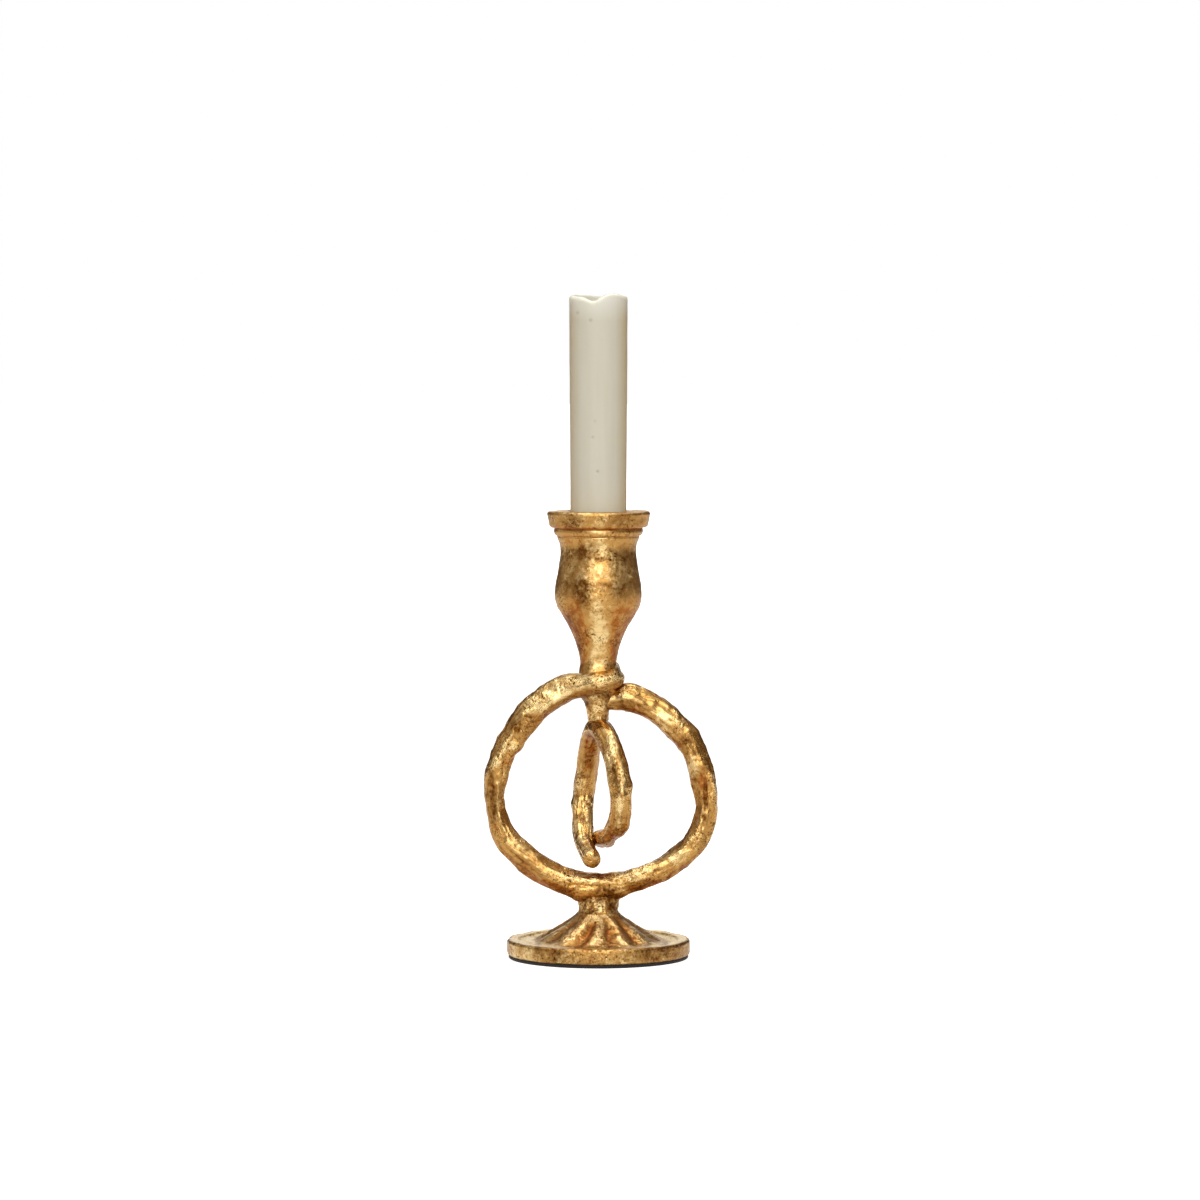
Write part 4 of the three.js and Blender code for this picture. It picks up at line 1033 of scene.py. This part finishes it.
candle_profile[:, 1] += CANDLE_Z
candle = skin("wax_taper_candle", turned(candle_profile, CANDLE_SIDES), looped=False)
points = points_of(candle)
bearing = np.degrees(np.arctan2(points[:, 1], points[:, 0]))
melted = rough(points, RIM_RIPPLE)
for where, spread, height in MELTED_RIM:
    turn = (bearing - where + 180) % 360 - 180
    melted += height * np.exp(-(turn / spread) ** 2)
near_top = ramp(points[:, 2] - CANDLE_Z - melt_z, MELT_REACH - MELT_FLAT)
wide = from_axis(points) > WICK_BORE + MELT_OFF_WICK
points[:, 2] += melted * near_top ** 2 * wide
reshape(candle, points)
out = from_axis(points)
outside = out > CANDLE_BASE_RADIUS - CANDLE_SKIN
bubbles = knobs(points, CANDLE_BUBBLES) * (points[:, 1] < 0) * outside
# Painted shade inside the crater and on the inner lip
smoked = SMOKE * ramp(CANDLE_TOP_RADIUS - SMOKE_FROM - out, SMOKE_FADE) * near_top
# Painted shade on the right and left flanks of the candle
to_side = points[:, 0] / CANDLE_TOP_RADIUS
aged = ramp(np.abs(to_side) - AGED_FROM, 1 - AGED_FROM) * np.where(to_side > 0, AGED_RIGHT, AGED_LEFT)
# Painted light at the top, where the rim is thin
thin = THIN * ramp(points[:, 2] - CANDLE_Z - CANDLE_LENGTH + THIN_REACH, THIN_REACH)
mark(candle, bubble=BUBBLE_DARK * bubbles + smoked, aged=aged, thin=thin)
above_cup = ramp(points[:, 2] - CANDLE_Z - CANDLE_STRAIGHT, CANDLE_WAVES_FADE)
work(candle, rough(points, CANDLE_WAVES) * above_cup * outside - bubbles)
candle.data.materials.append(ivory_wax())
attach(candle, "taper")
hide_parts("candle")

# Wick
# Three strands of bleached cotton twisted together and waxed, down the candle's middle.
# Its trimmed end stands in the crater below the rim, and is charred at the tip.
WICK_RADIUS = 0.9
WICK_END = 103.8
WICK_PITCH = 4.0
WICK_STEP = 0.3
WICK_GAP = 0.3
WICK_SIDES = 24
STRANDS = 3
STRAND_DEPTH = 0.2
TIP_ROUND = 0.8
TIP_END = 0.04
CHAR_FROM = 2.2
CHAR_TO = 1
COTTON = "ded6c3"
CHAR = "1f1a17"
# Drawn coarser than real fibres, so that they show
COTTON_FIBRE = 0.3
COTTON_NAP = 0.1


def waxed_cotton():
    """Twisted cotton soaked in wax: cream, dull, with fine fibres, burnt black at its tip."""
    material, tree, shader, place = start_material("waxed cotton, twisted")
    fibres = add(tree, "TexNoise", {
        "Vector": place, "Scale": per_metre(COTTON_FIBRE), "Detail": 4}).outputs["Fac"]
    height = add(tree, "SeparateXYZ", {"Vector": place}).outputs["Z"]
    end = CANDLE_Z + WICK_END
    burnt = add(tree, "MapRange", {
        "Value": height, "From Min": (end - CHAR_FROM) * MM, "From Max": (end - CHAR_TO) * MM}).outputs[0]
    colour = add(tree, "Mix", {
        0: burnt, 6: linear(COTTON), 7: linear(CHAR)}, data_type="RGBA").outputs[2]
    nap = add(tree, "Bump", {
        "Height": fibres, "Strength": 0.5, "Distance": COTTON_NAP * MM}).outputs["Normal"]
    tree.links.new(colour, shader.inputs["Base Color"])
    tree.links.new(nap, shader.inputs["Normal"])
    shader.inputs["Roughness"].default_value = 0.85
    return material


wick_heights = np.arange(CANDLE_Z + WICK_START + WICK_GAP, CANDLE_Z + WICK_END, WICK_STEP)
wick_angles = np.linspace(0, 2 * np.pi, WICK_SIDES, endpoint=False)
wick_rows = []
for height in wick_heights:
    twist = 2 * np.pi * height / WICK_PITCH
    bulge = np.abs(np.cos(STRANDS / 2 * (wick_angles - twist)))
    tip = np.sqrt(max(TIP_END, min(1, (wick_heights[-1] - height) / TIP_ROUND)))
    radius = WICK_RADIUS * (1 - STRAND_DEPTH + STRAND_DEPTH * bulge) * tip
    wick_rows.append(np.stack([
        radius * np.cos(wick_angles), radius * np.sin(wick_angles), np.full(WICK_SIDES, height)], axis=1))
wick = skin("cotton_wick", np.array(wick_rows), looped=False)
wick.data.materials.append(waxed_cotton())
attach(wick, "taper")
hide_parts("wick")

# Studio
# A white table that runs into a white background, under a cotton tent that the camera doesn't see, with
# three soft lamps. The tent is graded from brown to white, so that the gold has dark and pale to reflect.
FLOOR_HALF = 12.0
PAPER = "f4f4f4"
PAPER_LIFT = 0.76
# Each lamp: [name, place, size, power], all aimed at the middle of the holder
LAMPS = [
    ["key softbox", (0.03, -1.35, 1.25), (2.2, 1.0), 16.5],
    ["top softbox", (0.0, 0.2, 1.75), (1.0, 0.9), 14.0],
    ["front softbox", (0.04, -1.95, 0.52), (1.1, 0.85), 6.0],
]
LAMP_AIM = Vector((0, 0, 0.12))
CLOTH_RADIUS = 2.1
CLOTH_SIDES = 144
CLOTH_ROWS = 31
CLOTH_TOP = 89
CLOTH_DARK = "d8ac6e"
CLOTH_PALE = "ffffff"
# The cloth's tone by its bearing from the camera, across, and by its elevation, down, both in degrees
CLOTH_BEARINGS = [-180, -168, -162, -138, -112, -80, -58, -31, -21, 23, 33, 58, 80, 112, 138, 162, 168, 180]
CLOTH_LEVELS = [0, 12, 25, 45, 60, 90]
CLOTH_TONES = [
    [1.0, 1.0, 0.12, 0.12, 0.45, 0.4, 0.22, 0.1, 0.7, 0.75, 0.12, 0.14, 0.18, 0.22, 0.12, 0.12, 1.0, 1.0],
    [1.0, 1.0, 0.06, 0.1, 0.55, 0.48, 0.24, 0.12, 0.9, 0.9, 0.14, 0.16, 0.2, 0.26, 0.1, 0.06, 1.0, 1.0],
    [1.0, 0.9, 0.1, 0.2, 0.7, 0.55, 0.45, 0.55, 0.95, 0.95, 0.5, 0.4, 0.36, 0.4, 0.2, 0.1, 0.9, 1.0],
    [0.9, 0.8, 0.4, 0.6, 0.9, 0.85, 0.8, 0.9, 1.0, 1.0, 0.9, 0.7, 0.55, 0.5, 0.5, 0.4, 0.8, 0.9],
    [1.0] * len(CLOTH_BEARINGS),
    [1.0] * len(CLOTH_BEARINGS),
]

world = bpy.data.worlds.new("white studio")
world.use_nodes = True
world.node_tree.nodes["Background"].inputs["Color"].default_value = (1, 1, 1, 1)
bpy.context.scene.world = world

floor_mesh = bpy.data.meshes.new("white table")
floor_corners = [(x * FLOOR_HALF, y * FLOOR_HALF, 0) for x, y in ((-1, -1), (1, -1), (1, 1), (-1, 1))]
floor_mesh.from_pydata(floor_corners, [], [(0, 1, 2, 3)])
floor = bpy.data.objects.new("white_table", floor_mesh)
bpy.context.scene.collection.objects.link(floor)
# The paper is lifted to white where it is seen, directly, mirrored or through glass
paper, tree, shader, _ = start_material("white paper, matt")
path = add(tree, "LightPath", {})
direct = add(tree, "Math", {
    0: path.outputs["Is Camera Ray"], 1: path.outputs["Is Glossy Ray"]}, operation="MAXIMUM")
shown = add(tree, "Math", {
    0: direct.outputs[0], 1: path.outputs["Is Transmission Ray"]}, operation="MAXIMUM")
lift = add(tree, "Math", {0: shown.outputs[0], 1: PAPER_LIFT}, operation="MULTIPLY")
shader.inputs["Base Color"].default_value = linear(PAPER)
shader.inputs["Roughness"].default_value = 0.9
shader.inputs["Specular IOR Level"].default_value = 0.0
shader.inputs["Emission Color"].default_value = (1, 1, 1, 1)
tree.links.new(lift.outputs[0], shader.inputs["Emission Strength"])
floor.data.materials.append(paper)

cloth_bearings = np.linspace(-180, 180, CLOTH_SIDES, endpoint=False)
levels = [np.interp(cloth_bearings, CLOTH_BEARINGS, tones) for tones in CLOTH_TONES]
cloth_rows = []
cloth_tones = []
for elevation in np.linspace(0, CLOTH_TOP, CLOTH_ROWS):
    rise = math.radians(elevation)
    cloth_tones += [np.interp(elevation, CLOTH_LEVELS, column) for column in zip(*levels)]
    across = CLOTH_RADIUS * math.cos(rise) * np.sin(np.radians(cloth_bearings))
    ahead = -CLOTH_RADIUS * math.cos(rise) * np.cos(np.radians(cloth_bearings))
    up = np.full(CLOTH_SIDES, CLOTH_RADIUS * math.sin(rise))
    cloth_rows.append(np.stack([across, ahead, up], axis=1))
cloth = skin("graded_cloth", np.array(cloth_rows) / MM, looped=False)
mark(cloth, tone=np.array(cloth_tones))
# The cloth glows by its tone alone, as lit from outside
cotton, tree, shader, _ = start_material("cotton cloth, graded")
tone = add(tree, "Attribute", {}, attribute_name="tone").outputs["Fac"]
tint = add(tree, "Mix", {
    0: tone, 6: linear(CLOTH_DARK), 7: linear(CLOTH_PALE)}, data_type="RGBA").outputs[2]
shader.inputs["Base Color"].default_value = (0, 0, 0, 1)
shader.inputs["Specular IOR Level"].default_value = 0.0
tree.links.new(tint, shader.inputs["Emission Color"])
tree.links.new(tone, shader.inputs["Emission Strength"])
cotton.cycles.emission_sampling = "NONE"
cloth.data.materials.append(cotton)
cloth.visible_camera = False
cloth.visible_shadow = False

for name, place, size, power in LAMPS:
    lamp = bpy.data.lights.new(name, "AREA")
    lamp.shape = "RECTANGLE"
    lamp.size, lamp.size_y = size
    lamp.energy = power
    stand = bpy.data.objects.new(name, lamp)
    stand.location = place
    stand.rotation_euler = (LAMP_AIM - Vector(place)).to_track_quat("-Z", "Y").to_euler()
    stand.visible_camera = False
    bpy.context.scene.collection.objects.link(stand)

# Camera
# A long lens at the height of the candle's top, tipped a little down, as far off as the photograph was taken.
EYE = Vector((0.0006, -1.92, 0.246))
AIM = Vector((0.0006, 0, 0.1373))
LENS = 150.9
SENSOR = 36
SEES_TO = 60
camera = bpy.data.cameras.new("camera")
camera.lens = LENS
camera.sensor_width = SENSOR
camera.clip_end = SEES_TO
tripod = bpy.data.objects.new("camera", camera)
tripod.location = EYE
tripod.rotation_euler = (AIM - EYE).to_track_quat("-Z", "Y").to_euler()
bpy.context.scene.collection.objects.link(tripod)
bpy.context.scene.camera = tripod
bpy.context.scene.view_settings.view_transform = "Standard"
